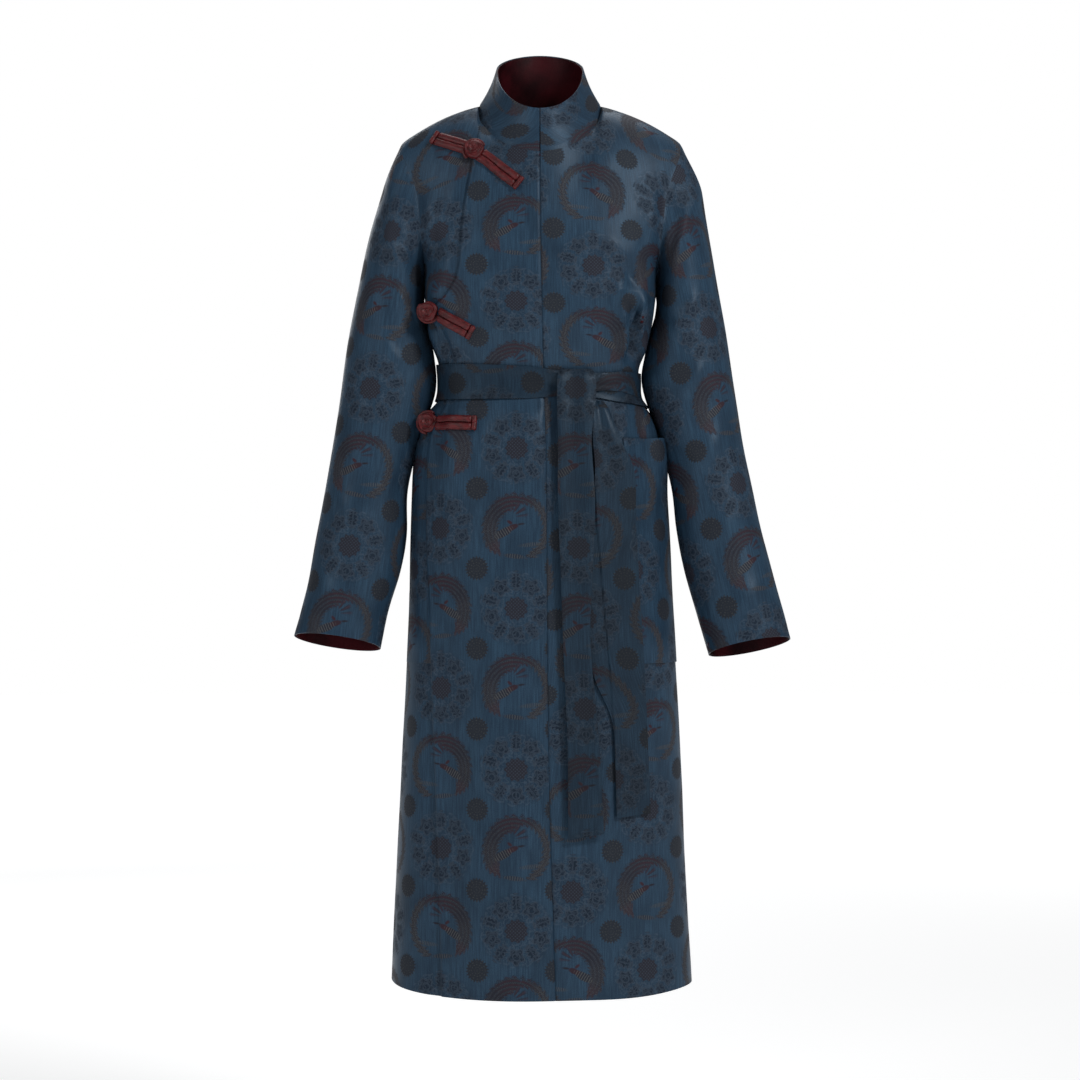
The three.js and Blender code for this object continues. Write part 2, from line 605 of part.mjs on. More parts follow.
// One wing of a frog: two padded bars on a strip, with a folded band at the far end.
function frogWing(name, from, to) {
  const start = frontPoint(from[0], from[1], 0).point;
  const end = frontPoint(to[0], to[1], 0).point;
  const length = start.distanceTo(end);
  const first = (BUTTON.radius + WING.clear) / length;
  const bandAt = 1 - WING.band / length;
  const stops = [...spaced(first, bandAt, WING.steps - 2), bandAt + 0.004, 1];
  const half = WING.halfWidth;
  const outline = (slotFloor, grow) => [
    [-half * grow, 0],
    [-half * grow, WING.height * 0.6],
    [-half * 0.75 * grow, WING.height * grow],
    [-WING.slot * 2.2, WING.height * grow],
    [-WING.slot, slotFloor],
    [WING.slot, slotFloor],
    [WING.slot * 2.2, WING.height * grow],
    [half * 0.75 * grow, WING.height * grow],
    [half * grow, WING.height * 0.6],
    [half * grow, 0],
  ];
  const rings = stops.map((stop) => {
    const { point, out } = frontPoint(mix(from[0], to[0], stop), mix(from[1], to[1], stop), WING.off);
    const along = end.clone().sub(start).normalize();
    const across = along.clone().cross(out).normalize();
    const isBand = stop > bandAt + 0.001;
    const profile = outline(isBand ? WING.height * 1.1 : WING.floor, isBand ? 1.12 : 1);
    return profile.map(([wide, high]) => point.clone().addScaledVector(across, wide).addScaledVector(out, high));
  });
  return named(name, sweptGeometry(rings), FROG_SATIN);
}

// A closed solid through rings that all have the same number of points, with flat ends.
function sweptGeometry(rings) {
  const around = rings[0].length;
  const points = rings.flat();
  const faces = [];
  for (let i = 0; i < rings.length - 1; i += 1)
    for (let j = 0; j < around; j += 1) {
      const a = i * around + j;
      const b = i * around + ((j + 1) % around);
      faces.push(a, b + around, a + around, a, b, b + around);
    }
  const cap = (base, isStart) => {
    const half = around / 2;
    for (let j = 0; j < half - 1; j += 1) {
      const [a, b, c, d] = [base + j, base + j + 1, base + around - 2 - j, base + around - 1 - j];
      if (isStart) faces.push(a, c, b, a, d, c);
      else faces.push(a, b, c, a, c, d);
    }
  };
  cap(0, true);
  cap((rings.length - 1) * around, false);
  const geometry = new THREE.BufferGeometry().setFromPoints(points);
  geometry.setIndex(faces);
  geometry.computeVertexNormals();
  return geometry;
}

// The knot button: a low dome on a round foot.
function frogButton(frog) {
  const { radius, height, rim } = BUTTON;
  const dome = spaced(0, 90, 4).map(
    (turn) => new THREE.Vector2(radius * Math.cos(radians(turn)), rim + (height - rim) * Math.sin(radians(turn))),
  );
  dome[dome.length - 1].x = 0;
  const profile = [new THREE.Vector2(0, 0), new THREE.Vector2(radius * 0.8, 0), ...dome];
  const geometry = new THREE.LatheGeometry(profile, 16);
  geometry.deleteAttribute("uv");
  geometry.deleteAttribute("normal");
  const { point, out } = frontPoint(frog.knot[0], frog.knot[1], frog.proud);
  const facing = out.clone().lerp(vec(0, -1, 0), frog.facing).normalize();
  const mesh = named(`${frog.name}_button`, geometry, FROG_SATIN);
  mesh.position.copy(point);
  mesh.quaternion.setFromUnitVectors(vec(0, 1, 0), facing);
  return mesh;
}

function frogs() {
  return FROGS.flatMap((frog) => [
    ...Object.entries(frog.wings).map(([wing, end]) => frogWing(`${frog.name}_wing_${wing}`, frog.knot, end)),
    frogButton(frog),
  ]);
}

const coat = new THREE.Group();
coat.add(
  ...bodyPanels(),
  ...pockets(),
  ...collarPieces(),
  sleeve("sleeve_right", SLEEVE_MINUS_X, -1),
  sleeve("sleeve_left", SLEEVE_PLUS_X, 1),
  cuffLining("cuff_lining_right", SLEEVE_MINUS_X, -1),
  cuffLining("cuff_lining_left", SLEEVE_PLUS_X, 1),
  beltBand(),
  beltKnot(),
  beltTail("belt_tail_front", TAIL_FRONT, TAIL.frontOff),
  beltTail("belt_tail_back", TAIL_BACK, TAIL.backOff),
  ...frogs(),
);

export default coat;
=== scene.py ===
"""Brocade wrap coat: the cloth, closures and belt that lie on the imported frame.

Lengths in the tables are millimetres in the frame's own axes: +Z up, -Y the front, +X the wearer's left.
Every point becomes metres when its piece is made.
"""

import math

import bpy
import numpy as np
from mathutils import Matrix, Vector


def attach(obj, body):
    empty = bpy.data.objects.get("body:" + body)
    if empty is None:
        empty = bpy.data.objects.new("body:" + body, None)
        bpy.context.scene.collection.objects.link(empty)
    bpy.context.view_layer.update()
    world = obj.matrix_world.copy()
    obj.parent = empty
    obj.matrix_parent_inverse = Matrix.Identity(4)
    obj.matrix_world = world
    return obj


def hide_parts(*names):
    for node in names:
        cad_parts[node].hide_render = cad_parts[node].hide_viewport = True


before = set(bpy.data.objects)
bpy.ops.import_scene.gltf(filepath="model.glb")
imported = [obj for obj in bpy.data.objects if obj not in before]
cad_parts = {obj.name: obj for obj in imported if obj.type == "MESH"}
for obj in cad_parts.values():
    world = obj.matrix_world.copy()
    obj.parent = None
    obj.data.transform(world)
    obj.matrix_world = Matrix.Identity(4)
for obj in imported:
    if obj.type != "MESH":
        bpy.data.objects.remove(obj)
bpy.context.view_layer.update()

MM = 0.001
WALL = 1.4

# Heights. Above the armpit a height stands for the way up the cloth to the shoulder, not for z.
ARMPIT = -205.0
UPPER = 200.0
RIDGE = ARMPIT + UPPER
HEM = -1106.0
BELT_LINE = -345.0
HEM_RISE = 13.0  # the hem hangs higher at the sides than at the middle
HEM_RISE_FROM = -900.0


def table(names, rows):
    """A table with named columns, each an array down its rows."""
    return dict(zip(names.split(), np.array(rows, dtype=float).T))


# Sections of the body below the armpit: half widths, depths, and how square each is.
SECTIONS = table(
    "z minus_x plus_x front back square",
    [
        (HEM, 193, 196, 121, 132, 0.10),
        (-966, 187, 189, 119, 130, 0.10),
        (-809, 180, 183, 116, 127, 0.10),
        (-613, 170, 173, 112, 124, 0.11),
        (-470, 167, 165, 108, 121, 0.12),
        (-391, 161, 156, 102, 115, 0.14),
        (-358, 148, 144, 96, 105, 0.17),
        (-340, 133, 130, 89, 93, 0.20),
        (-316, 130, 128, 87, 90, 0.22),
        (-290, 133, 131, 89, 93, 0.25),
        (-265, 142, 141, 95, 100, 0.30),
        (-238, 147, 147, 99, 105, 0.33),
        (ARMPIT, 150, 151, 100, 108, 0.34),
    ],
)

# The centre front seam and the free edge of the overlap, as x at each height.
CENTRE_FRONT = table(
    "z x",
    [(HEM, 20), (-809, 11), (-470, 8), (-391, 7), (-290, 4), (-150, 1), (-60, 0), (60, 0)],
)
OVERLAP_EDGE = table(
    "z x",
    [
        (HEM, -128),
        (-966, -132),
        (-809, -137),
        (-613, -143),
        (-470, -147),
        (-391, -141),
        (-345, -121),
        (-295, -118),
        (-255, -133),
        (-228, -138),
        (-205, -119),
        (-184, -107),
        (-129, -101),
        (-85, -96),
        (-22, -84),
        (40, -70),
    ],
)

# Neck, shoulders, armholes and collar rim
NECK_COLUMN = 36.0
NECK = dict(half_width=80, front=80, back=72, side_y=5, side_z=44, front_drop=68, back_rise=16)
RIM = dict(half_width=57, front=70, back=60, side_y=3, side_z=92, front_drop=60, back_rise=27)
SHOULDER_TIP = dict(minus_x=180, plus_x=183, y=5, z=-4, bulge=24)
CREASE = dict(minus_x=150, plus_x=156, opening=62, front_depth=66, back_depth=72)

# Sleeves from the armhole down: outer and inner line, front and back depth, tilt of the opening.
SLEEVE_COLUMNS = "row out_x out_z in_x in_z front back tilt"
SLEEVE_MINUS_X = table(
    SLEEVE_COLUMNS,
    [
        (0, 203, -56, 151, -215, 60, 64, 0),
        (1, 221, -120, 149, -231, 61, 62, 0),
        (2, 235, -185, 146, -246, 61, 58, 0),
        (3, 249, -258, 138, -282, 61, 53, 0),
        (4, 260, -335, 136, -328, 62, 48, 1),
        (5, 271, -408, 154, -385, 63, 43, 2),
        (6, 282, -475, 171.5, -455, 65, 38, 3),
        (7, 291, -525, 173, -515, 68, 31, 5),
        (8, 300, -574, 181, -562, 72, 24, 7),
        (9, 310, -613, 196, -612, 76, 15, 9),
        (10, 318, -646, 206, -662, 79, 7, 10),
    ],
)
SLEEVE_PLUS_X = table(
    SLEEVE_COLUMNS,
    [
        (0, 211, -68, 152, -215, 60, 64, 0),
        (1, 222, -136, 149.5, -231, 61, 62, 0),
        (2, 234, -205, 145, -246, 61, 58, 0),
        (3, 246, -280, 136.3, -282, 61, 53, 0),
        (4, 256, -346, 133, -322, 62, 48, 1),
        (5, 266, -404, 153.5, -388, 63, 43, 2),
        (6, 278, -462, 170.5, -452, 65, 38, 3),
        (7, 288, -510, 177, -508, 68, 31, 5),
        (8, 299, -556, 187, -562, 72, 24, 7),
        (9, 311, -602, 203, -618, 76, 15, 9),
        (10, 324, -650, 218, -670, 79, 7, 10),
    ],
)


def mix(low, high, share):
    return low + (high - low) * share


def joined(*parts):
    """Numbers side by side, as the coordinates of points."""
    return np.stack(parts, axis=-1)


def same_shape(one, other):
    return np.broadcast_arrays(np.asarray(one, float), np.asarray(other, float))


def half_turn(angle):
    """The same angle between -180 and 180, for angles up to 360."""
    return np.where(angle > 180, angle - 360, angle)


def hermite(t):
    """How much each end's place and slope count on a smooth curve: place, slope, place, slope."""
    return 2 * t**3 - 3 * t**2 + 1, t**3 - 2 * t**2 + t, 3 * t**2 - 2 * t**3, t**3 - t**2


def smooth(start, end, value):
    share = np.clip((value - start) / (end - start), 0, 1)
    return share * share * (3 - 2 * share)


def bump(value, centre, width):
    return np.exp(-(((value - centre) / width) ** 2))


def look_up(rows, key, column, at):
    """A smooth value from one column of a table whose rows rise in key."""
    keys = rows[key]
    values = rows[column]
    last = len(keys) - 1
    at = np.clip(np.asarray(at, dtype=float), keys[0], keys[last])
    i = np.clip(np.searchsorted(keys, at, side="right") - 1, 0, last - 1)
    below = np.maximum(np.arange(last + 1) - 1, 0)
    above = np.minimum(np.arange(last + 1) + 1, last)
    slopes = (values[above] - values[below]) / (keys[above] - keys[below])
    step = keys[i + 1] - keys[i]
    start, leave, end, arrive = hermite((at - keys[i]) / step)
    return (
        values[i] * start
        + slopes[i] * step * leave
        + values[i + 1] * end
        + slopes[i + 1] * step * arrive
    )


def neck_line(side, share, is_front, ring):
    """The neckline or the rim, at a share of the way from the middle to the side."""
    turn = np.radians(share * 90)
    depth = np.where(is_front, -ring["front"], ring["back"])
    rise = np.where(is_front, -ring["front_drop"], ring["back_rise"])
    return joined(
        side * ring["half_width"] * np.sin(turn),
        mix(ring["side_y"], depth, np.cos(turn)),
        ring["side_z"] + rise * np.cos(turn),
    )


def top_line(side, share, is_front):
    """Where a column of the upper body ends: on the neckline, or on the ridge of the shoulder."""
    neck_share = NECK_COLUMN / 90
    on_neck = neck_line(side, np.minimum(share / neck_share, 1), is_front, NECK)
    out = np.clip((share - neck_share) / (1 - neck_share), 0, 1)
    tip = np.where(side < 0, SHOULDER_TIP["minus_x"], SHOULDER_TIP["plus_x"])
    on_ridge = joined(
        side * mix(NECK["half_width"], tip, out),
        mix(NECK["side_y"], SHOULDER_TIP["y"], out),
        mix(NECK["side_z"], SHOULDER_TIP["z"], out) + SHOULDER_TIP["bulge"] * out * (1 - out),
    )
    return np.where((share <= neck_share)[..., None], on_neck, on_ridge)


def section_point(angle, z):
    """A point of the body's outline below the armpit."""
    turn = np.radians(angle)
    sine = np.sin(turn)
    cosine = np.cos(turn)
    value = {name: look_up(SECTIONS, "z", name, z) for name in SECTIONS if name != "z"}
    width = np.where(sine < 0, value["minus_x"], value["plus_x"])
    depth = np.where(cosine > 0, value["front"], value["back"])
    return joined(
        width * sine * (1 + value["square"] * cosine**2),
        -depth * cosine * (1 + value["square"] * sine**2),
        z + HEM_RISE * sine**4 * (1 - smooth(HEM, HEM_RISE_FROM, z)),
    )


def upper_point(angle, height):
    """The body above the armpit level: up from the section there to the neckline or the shoulder."""
    rise = np.clip((height - ARMPIT) / UPPER, 0, 1)
    side = np.where(angle < 0, -1.0, 1.0)
    is_front = np.abs(angle) <= 90
    share = np.where(is_front, np.abs(angle), 180 - np.abs(angle)) / 90
    low = section_point(angle, ARMPIT + 0 * angle)
    top = top_line(side, share, is_front)
    quarter = rise * np.pi / 2
    neck = 1 - smooth(0.05, 0.42, share)
    up = mix(np.sin(quarter), rise, neck)
    over = mix(1 - np.cos(quarter), rise**2, neck)
    opened = smooth(0, 0.3, rise)
    crease_depth = np.where(is_front, CREASE["front_depth"], CREASE["back_depth"])
    shallow = 1 - (1 - crease_depth / 100) * share**2.5
    middle = np.where(is_front, 0.0, 180.0)
    chest = section_point(middle, ARMPIT + 0 * angle)[..., 1] * shallow
    crease = np.where(side < 0, CREASE["minus_x"], CREASE["plus_x"])
    tip = np.where(side < 0, SHOULDER_TIP["minus_x"], SHOULDER_TIP["plus_x"])
    edge = mix(crease, tip, smooth(0.42, 0.8, rise))
    spread = np.sin(np.radians(share * CREASE["opening"])) / math.sin(math.radians(CREASE["opening"]))
    open_x = mix(side * edge * spread, top[..., 0], rise**1.5)
    return joined(
        mix(low[..., 0], open_x, opened),
        mix(low[..., 1], mix(chest, top[..., 1], over), opened),
        mix(low[..., 2], top[..., 2], up),
    )


def flat_point(angle, height):
    """A point of the body before any fold."""
    angle, height = same_shape(angle, height)
    angle = np.where(np.abs(angle) > 180, angle - 360 * np.sign(angle), angle)
    low = section_point(angle, np.minimum(height, ARMPIT))
    high = upper_point(angle, height)
    return np.where((height <= ARMPIT)[..., None], low, high)


def unit(vectors):
    length = np.linalg.norm(vectors, axis=-1, keepdims=True)
    return vectors / np.maximum(length, 1e-9)


def outward(angle, height):
    """The way out of the cloth, worked out inside the same half of the body."""
    turn_step = 0.4
    rise_step = 1.5
    angle, height = same_shape(angle, height)
    is_front = np.abs(angle) <= 90
    sign = np.where(angle < 0, -1.0, 1.0)

    def place(a):
        front = np.clip(a, -90, 90)
        back = sign * np.maximum(90.001, np.abs(a))
        return np.where(is_front, front, back)

    across = flat_point(place(angle + turn_step), height) - flat_point(place(angle - turn_step), height)
    highest = np.minimum(RIDGE, height + rise_step)
    lowest = np.maximum(HEM, height - rise_step)
    up = flat_point(angle, highest) - flat_point(angle, lowest)
    return unit(np.cross(across, up))


# Folds given one by one, seen from the front or the back: three points along each, its width and height,
# and how far it leans over to one side.
FOLDS = table(
    "side x1 z1 x2 z2 x3 z3 width height lean",
    [
        # bodice on the wearer's left, above the belt
        (-1, 78, -146, 98, -158, 118, -186, 8, 4.0, 0.4),
        (-1, 100, -176, 106, -236, 109, -300, 6, 6.0, 0.7),
        (-1, 92, -162, 114, -178, 124, -208, 8, -6.5, 0.0),
        (-1, 121, -204, 119, -254, 115, -304, 6, -9.0, 0.0),
        (-1, 132, -196, 131, -250, 127, -300, 6, 11.0, 0.0),
        (-1, 60, -232, 66, -266, 62, -300, 8, 1.6, 0.3),
        # bodice on the overlap
        (-1, -147, -238, -134, -268, -119, -298, 5, 5.5, -0.4),
        (-1, -137, -238, -124, -268, -110, -302, 4.5, -5.0, 0.0),
        (-1, -76, -248, -66, -276, -60, -300, 7, 1.6, 0.3),
        (-1, -30, -250, -24, -276, -18, -300, 7, 1.2, -0.2),
        # along the creases beside the sleeves
        (-1, -147, -72, -142, -118, -138, -200, 6, 3.6, 0.3),
        (-1, 160, -58, 157, -104, 150, -168, 7, -4.0, 0.0),
        (-1, 148, -70, 144, -112, 138, -166, 6, 2.6, 0.0),
        # chest, from the armholes inwards
        (-1, 152, -70, 138, -120, 120, -170, 11, 3.2, 0.6),
        (-1, -146, -66, -134, -112, -118, -150, 11, 2.8, -0.6),
        (-1, 98, -8, 84, -40, 78, -84, 16, 1.2, 0.0),
        # skirt, below the belt
        (-1, 96, -352, 104, -420, 112, -560, 10, 2.4, 0.4),
        (-1, 128, -360, 136, -470, 142, -640, 12, -2.6, 0.0),
        (-1, -104, -352, -112, -440, -120, -560, 11, 2.0, -0.4),
        (-1, -60, -350, -64, -392, -66, -470, 8, 1.2, 0.2),
        (-1, 78, -700, 84, -880, 92, -1104, 22, 2.4, 0.3),
        (-1, -78, -640, -84, -860, -92, -1104, 24, 2.0, -0.3),
        # the same on the back
        (1, 88, -190, 104, -250, 108, -300, 9, 3.0, 0.5),
        (1, -92, -196, -106, -254, -104, -300, 9, 3.2, -0.5),
        (1, 40, -226, 46, -268, 44, -298, 8, 2.0, 0.3),
        (1, -34, -218, -42, -262, -40, -298, 8, 2.2, -0.3),
        (1, 4, -240, 2, -272, 3, -298, 7, 1.6, 0.0),
        (1, 150, -60, 128, -110, 104, -150, 14, 2.2, -0.4),
        (1, -148, -64, -124, -112, -100, -156, 14, 2.4, 0.4),
        (1, 60, -352, 70, -450, 80, -640, 11, 2.2, 0.3),
        (1, -52, -352, -64, -470, -74, -660, 12, 2.4, -0.3),
        (1, 118, -354, 128, -440, 136, -600, 10, -2.0, 0.0),
        (1, -116, -354, -126, -450, -136, -590, 10, -2.2, 0.0),
        (1, 22, -700, 28, -880, 30, -1104, 24, 2.4, 0.0),
    ],
)
SLEEVE_FOLDS = table(
    "side x1 z1 x2 z2 x3 z3 width height lean",
    [
        # drag folds from the armhole on the wearer's right
        (-1, -196, -118, -186, -152, -166, -176, 8, 3.0, 0.5),
        (-1, -184, -196, -172, -222, -158, -238, 7, 2.6, 0.4),
        (-1, -206, -250, -190, -282, -168, -300, 9, 2.0, 0.4),
        (-1, -240, -330, -216, -372, -190, -402, 12, 1.6, 0.0),
        (-1, -262, -452, -240, -486, -206, -508, 13, 1.6, 0.2),
        (-1, -288, -560, -262, -590, -230, -604, 13, 1.3, 0.0),
        (-1, -170, -60, -160, -112, -156, -206, 9, -5.5, 0.0),
        # the same on the wearer's left
        (-1, 186, -84, 180, -130, 166, -176, 8, 3.0, -0.5),
        (-1, 206, -196, 186, -232, 168, -246, 8, 2.0, -0.4),
        (-1, 214, -282, 194, -316, 166, -334, 10, 1.8, -0.3),
        (-1, 238, -372, 214, -408, 186, -424, 12, 1.6, 0.0),
        (-1, 262, -470, 240, -504, 208, -520, 13, 1.4, 0.2),
        (-1, 290, -572, 262, -598, 236, -612, 13, 1.2, 0.0),
        # the same on the back
        (1, -196, -110, -184, -150, -164, -184, 9, 2.8, -0.5),
        (1, -210, -236, -190, -266, -164, -286, 10, 2.2, -0.4),
        (1, -250, -372, -222, -404, -190, -420, 12, 1.6, 0.0),
        (1, -272, -500, -246, -528, -214, -540, 12, 1.3, 0.0),
        (1, 196, -114, 186, -150, 166, -186, 9, 2.8, 0.5),
        (1, 212, -240, 192, -268, 166, -288, 10, 2.2, 0.4),
        (1, 246, -380, 218, -408, 188, -424, 12, 1.6, 0.0),
        (1, 272, -496, 246, -524, 212, -538, 12, 1.3, 0.0),
    ],
)


# How much the tables' heights are scaled, and where the cloth lies calm: held by the belt and on the ridge.
BODY_FOLD_SCALE = 1.3
SLEEVE_FOLD_SCALE = 2.2
BELT_MIDDLE = -322
BELT_CALM = 22
RIDGE_CALM_FROM = -40


def fold_relief(folds, points, side):
    """How far the folds of a table push out the cloth at each point; side is -1 for the front, 1 for the back."""
    x = points[..., 0]
    z = points[..., 2]
    total = np.zeros(x.shape)
    steps = 14
    for i in range(len(folds["side"])):
        row = {name: column[i] for name, column in folds.items()}
        nearest = np.full(x.shape, 1e9)
        along = np.zeros(x.shape)
        signed = np.zeros(x.shape)
        for k in range(steps):
            t0 = k / steps
            t1 = (k + 1) / steps
            ax, az = fold_place(row, t0)
            bx, bz = fold_place(row, t1)
            dx = bx - ax
            dz = bz - az
            share = np.clip(((x - ax) * dx + (z - az) * dz) / (dx * dx + dz * dz), 0, 1)
            gap_x = x - ax - share * dx
            gap_z = z - az - share * dz
            gap = np.hypot(gap_x, gap_z)
            closer = gap < nearest
            nearest = np.where(closer, gap, nearest)
            along = np.where(closer, mix(t0, t1, share), along)
            signed = np.where(closer, gap * np.sign(gap_x * dz - gap_z * dx), signed)
        ends = smooth(-0.02, 0.35, along) * (1 - smooth(0.62, 1.02, along))
        beyond = np.exp(-((nearest / row["width"]) ** 2))
        lean = row["lean"] * signed / row["width"]
        reach = ends * beyond * row["height"] * (1 + lean)
        total += np.where(side == row["side"], reach, 0)
    return total


def fold_place(row, t):
    """A place on the curve through the middle of a fold's three points."""
    a = (1 - t) * (1 - 2 * t)
    b = 4 * t * (1 - t)
    c = t * (2 * t - 1)
    return (
        row["x1"] * a + row["x2"] * b + row["x3"] * c,
        row["z1"] * a + row["z2"] * b + row["z3"] * c,
    )


def drift(points):
    """Slow unevenness of hung cloth."""
    x, y, z = (points[..., i] for i in range(3))
    return (
        0.9 * np.sin(x / 37 + 0.6 * np.sin(z / 71) + 0.4)
        * np.sin(z / 58 + 0.8 * np.sin(x / 49 + 1.0) + y / 60)
        + 0.5 * np.sin(x / 19 - z / 43 + 1.3) * np.sin(z / 31 + x / 90)
    )


def body_relief(angle, height, points):
    """Gathers at the belt, flutes of the skirt, the pinch beside the belt, and the listed folds."""
    wrapped = half_turn(angle)
    turn = np.radians(wrapped)
    beside_sleeve = bump(np.abs(np.abs(wrapped) - 90), 0, 26)
    clear = np.where(height > -590, 1 - beside_sleeve, 1.0)
    above = smooth(-292, -268, height) * (1 - smooth(-262, -190, height))
    below = (1 - smooth(-372, -348, height)) * smooth(-480, -380, height)
    gathers = 2.2 * np.cos(9 * turn + 0.7) + 1.3 * np.cos(14 * turn + 2.1) + 0.7 * np.cos(27 * turn + 1.1)
    skirt = 1 - smooth(-1000, -420, height)
    flutes = 3.2 * np.cos(5 * turn + 0.4) + 1.8 * np.cos(8 * turn + 1.9)
    beside_knot = bump(wrapped, 58, 9) - 0.8 * bump(wrapped, 44, 8)
    pinch = -6 * beside_knot * smooth(-300, -280, height) * (1 - smooth(-270, -200, height))
    side = np.where(np.abs(wrapped) <= 90, -1, 1)
    quiet = 1 - bump(points[..., 2], BELT_MIDDLE, BELT_CALM)
    quiet = quiet * (1 - smooth(RIDGE_CALM_FROM, RIDGE, height))
    folds = BODY_FOLD_SCALE * fold_relief(FOLDS, points, side) * (1 - 0.5 * beside_sleeve)
    by_hand = folds + drift(points) * (1 - 0.6 * beside_sleeve)
    return clear * (gathers * (above + below) + flutes * skirt) + pinch + by_hand * quiet


def body_point(angle, height, off):
    """A point of the body's cloth, moved out by a distance."""
    angle, height = same_shape(angle, height)
    flat = flat_point(angle, height)
    reach = off + body_relief(angle, height, flat)
    return flat + outward(half_turn(angle), height) * reach[..., None]


def halved(shape, start, end, is_short, rounds):
    """The angle between start and end up to which is_short holds, found by halving."""
    low = np.full(shape, float(start))
    high = np.full(shape, float(end))
    for _ in range(rounds):
        middle = (low + high) / 2
        short = is_short(middle)
        low = np.where(short, middle, low)
        high = np.where(short, high, middle)
    return (low + high) / 2


def angle_on_line(line, height, start, end):
    """The angle at which the outline at each height crosses a line drawn down the front."""

    def is_short(angle):
        point = flat_point(angle, height)
        return point[..., 0] < look_up(line, "z", "x", point[..., 2])

    return halved(np.shape(height), start, end, is_short, 36)


def centre_angle(height):
    return angle_on_line(CENTRE_FRONT, height, -20, 20)


def edge_angle(height):
    return angle_on_line(OVERLAP_EDGE, height, -86, -10)


def front_place(x, z):
    """Angle and height of the front of the coat at a place seen from the front."""
    x, z = same_shape(x, z)
    height = z.copy()

    def is_short(angle):
        return flat_point(angle, height)[..., 0] < x

    for _ in range(14):
        angle = halved(x.shape, -89, 89, is_short, 30)
        found = flat_point(angle, height)[..., 2]
        height = np.minimum(RIDGE - 1, height + (z - found) * 0.8)
    return angle, height


def front_point(x, z, off):
    angle, height = front_place(x, z)
    return body_point(angle, height, off), outward(angle, height)


# Cells of the shell's grids: beside the neck, along the shoulder and up the armhole. Then rings of a sleeve.
NECK_CELLS = 16
SHOULDER_CELLS = 22
ARMHOLE_CELLS = 44
SLEEVE_CELLS = 2 * ARMHOLE_CELLS
SLEEVE_TOP_RINGS = 12
SLEEVE_RINGS_A_ROW = 8


def body_rows():
    """Heights of the rows, from the hem up. The last ones meet the columns of the sleeves."""
    skirt = np.linspace(HEM, -400, 87)
    waist = np.linspace(-400, -250, 38)[1:]
    chest = np.linspace(-250, ARMPIT, 9)[1:]
    upper = ARMPIT + UPPER * armhole_rise(np.linspace(0, 1, ARMHOLE_CELLS + 1)[1:])
    return np.concatenate([skirt, waist, chest, upper])


def armhole_rise(share):
    return share**1.5


def armhole_turn(share):
    """The turn round the sleeve that meets each row of the armhole."""
    level = 1 - 2 * np.sin(armhole_rise(share) * np.pi / 2)
    return np.degrees(np.arccos(np.clip(level, -1, 1)))


ROWS = body_rows()
LOW_ROWS = len(ROWS) - ARMHOLE_CELLS


SEAM_STEPS = (0.1, 0.12, 0.2, 0.45)
SEAM_DIP = 2.0
SEAM_WIDTH = 1.1
HELD_RINGS = 5


def eased(cells):
    """Shares from 0 to 1 whose first cells are narrow, so a seam can be drawn tight."""
    steps = np.ones(cells)
    steps[: len(SEAM_STEPS)] = SEAM_STEPS
    shares = np.concatenate([[0], np.cumsum(steps)])
    return shares / shares[-1]


def seam_dip(distance):
    """How far the cloth sinks at a distance from a seam."""
    return -SEAM_DIP * np.exp(-((distance / SEAM_WIDTH) ** 2))


def left_angles():
    centre = centre_angle(ROWS)[:, None]
    neck = mix(centre, 90, NECK_COLUMN / 90)
    inner = mix(centre, neck, eased(NECK_CELLS)[None, :])
    outer = mix(neck, 90, np.linspace(0, 1, SHOULDER_CELLS + 1)[None, 1:])
    return np.concatenate([inner, outer], axis=1)


def under_angles():
    centre = centre_angle(ROWS)[:, None]
    stop = mix(centre, -NECK_COLUMN, 0.12)
    outer = mix(-90, -NECK_COLUMN, np.linspace(0, 1, SHOULDER_CELLS + 1)[None, :]) + 0 * centre
    inner = mix(-NECK_COLUMN, stop, np.linspace(0, 1, NECK_CELLS - 1)[None, 1:])
    return np.concatenate([outer, inner], axis=1)


def back_angles():
    side = np.linspace(90, 180 - NECK_COLUMN, SHOULDER_CELLS + 1)
    middle = np.linspace(180 - NECK_COLUMN, 180 + NECK_COLUMN, 2 * NECK_CELLS + 1)[1:]
    far = np.linspace(180 + NECK_COLUMN, 270, SHOULDER_CELLS + 1)[1:]
    row = np.concatenate([side, middle, far])
    return np.broadcast_to(row, (len(ROWS), len(row)))


def arc_lengths(points, axes, along):
    """Lengths run along one direction of a grid, counting only some of the axes."""
    steps = np.diff(points[..., axes], axis=along)
    lengths = np.cumsum(np.linalg.norm(steps, axis=-1), axis=along)
    pad = [(0, 0), (0, 0)]
    pad[along] = (1, 0)
    return np.pad(lengths, pad)


# The brocade's lattice
PITCH = 102.0
SLUMP = 1.13  # cloth that blouses above the belt shows its pattern shortened


def cloth_height(points):
    """The way up the cloth: z in the skirt, a little more above the belt, along the cloth over the chest."""
    z = points[..., 2]
    low = np.where(z < BELT_LINE, z, BELT_LINE + (z - BELT_LINE) * SLUMP)
    climb = arc_lengths(points, [1, 2], 0)
    start = LOW_ROWS - 1
    upper = low[start] + (climb - climb[start]) * 1.06
    return np.where(np.arange(len(ROWS))[:, None] <= start, low, upper)


def lattice(across, up, origin):
    """Pattern coordinates in pitches, with a phoenix at the origin."""
    return joined((across - origin[0]) / PITCH, (up - origin[1]) / PITCH)


def left_pattern(points):
    across = points[:, :1, 0] + arc_lengths(points, [0, 1], 1)
    up = cloth_height(points)
    height = points[..., 2]
    shift = mix(40, 69, smooth(-1072, -263, height)) + 16 * bump(height, -560, 180)
    return lattice(across - shift, up + 14 * bump(height, -560, 180), (-PITCH, -254 - PITCH))


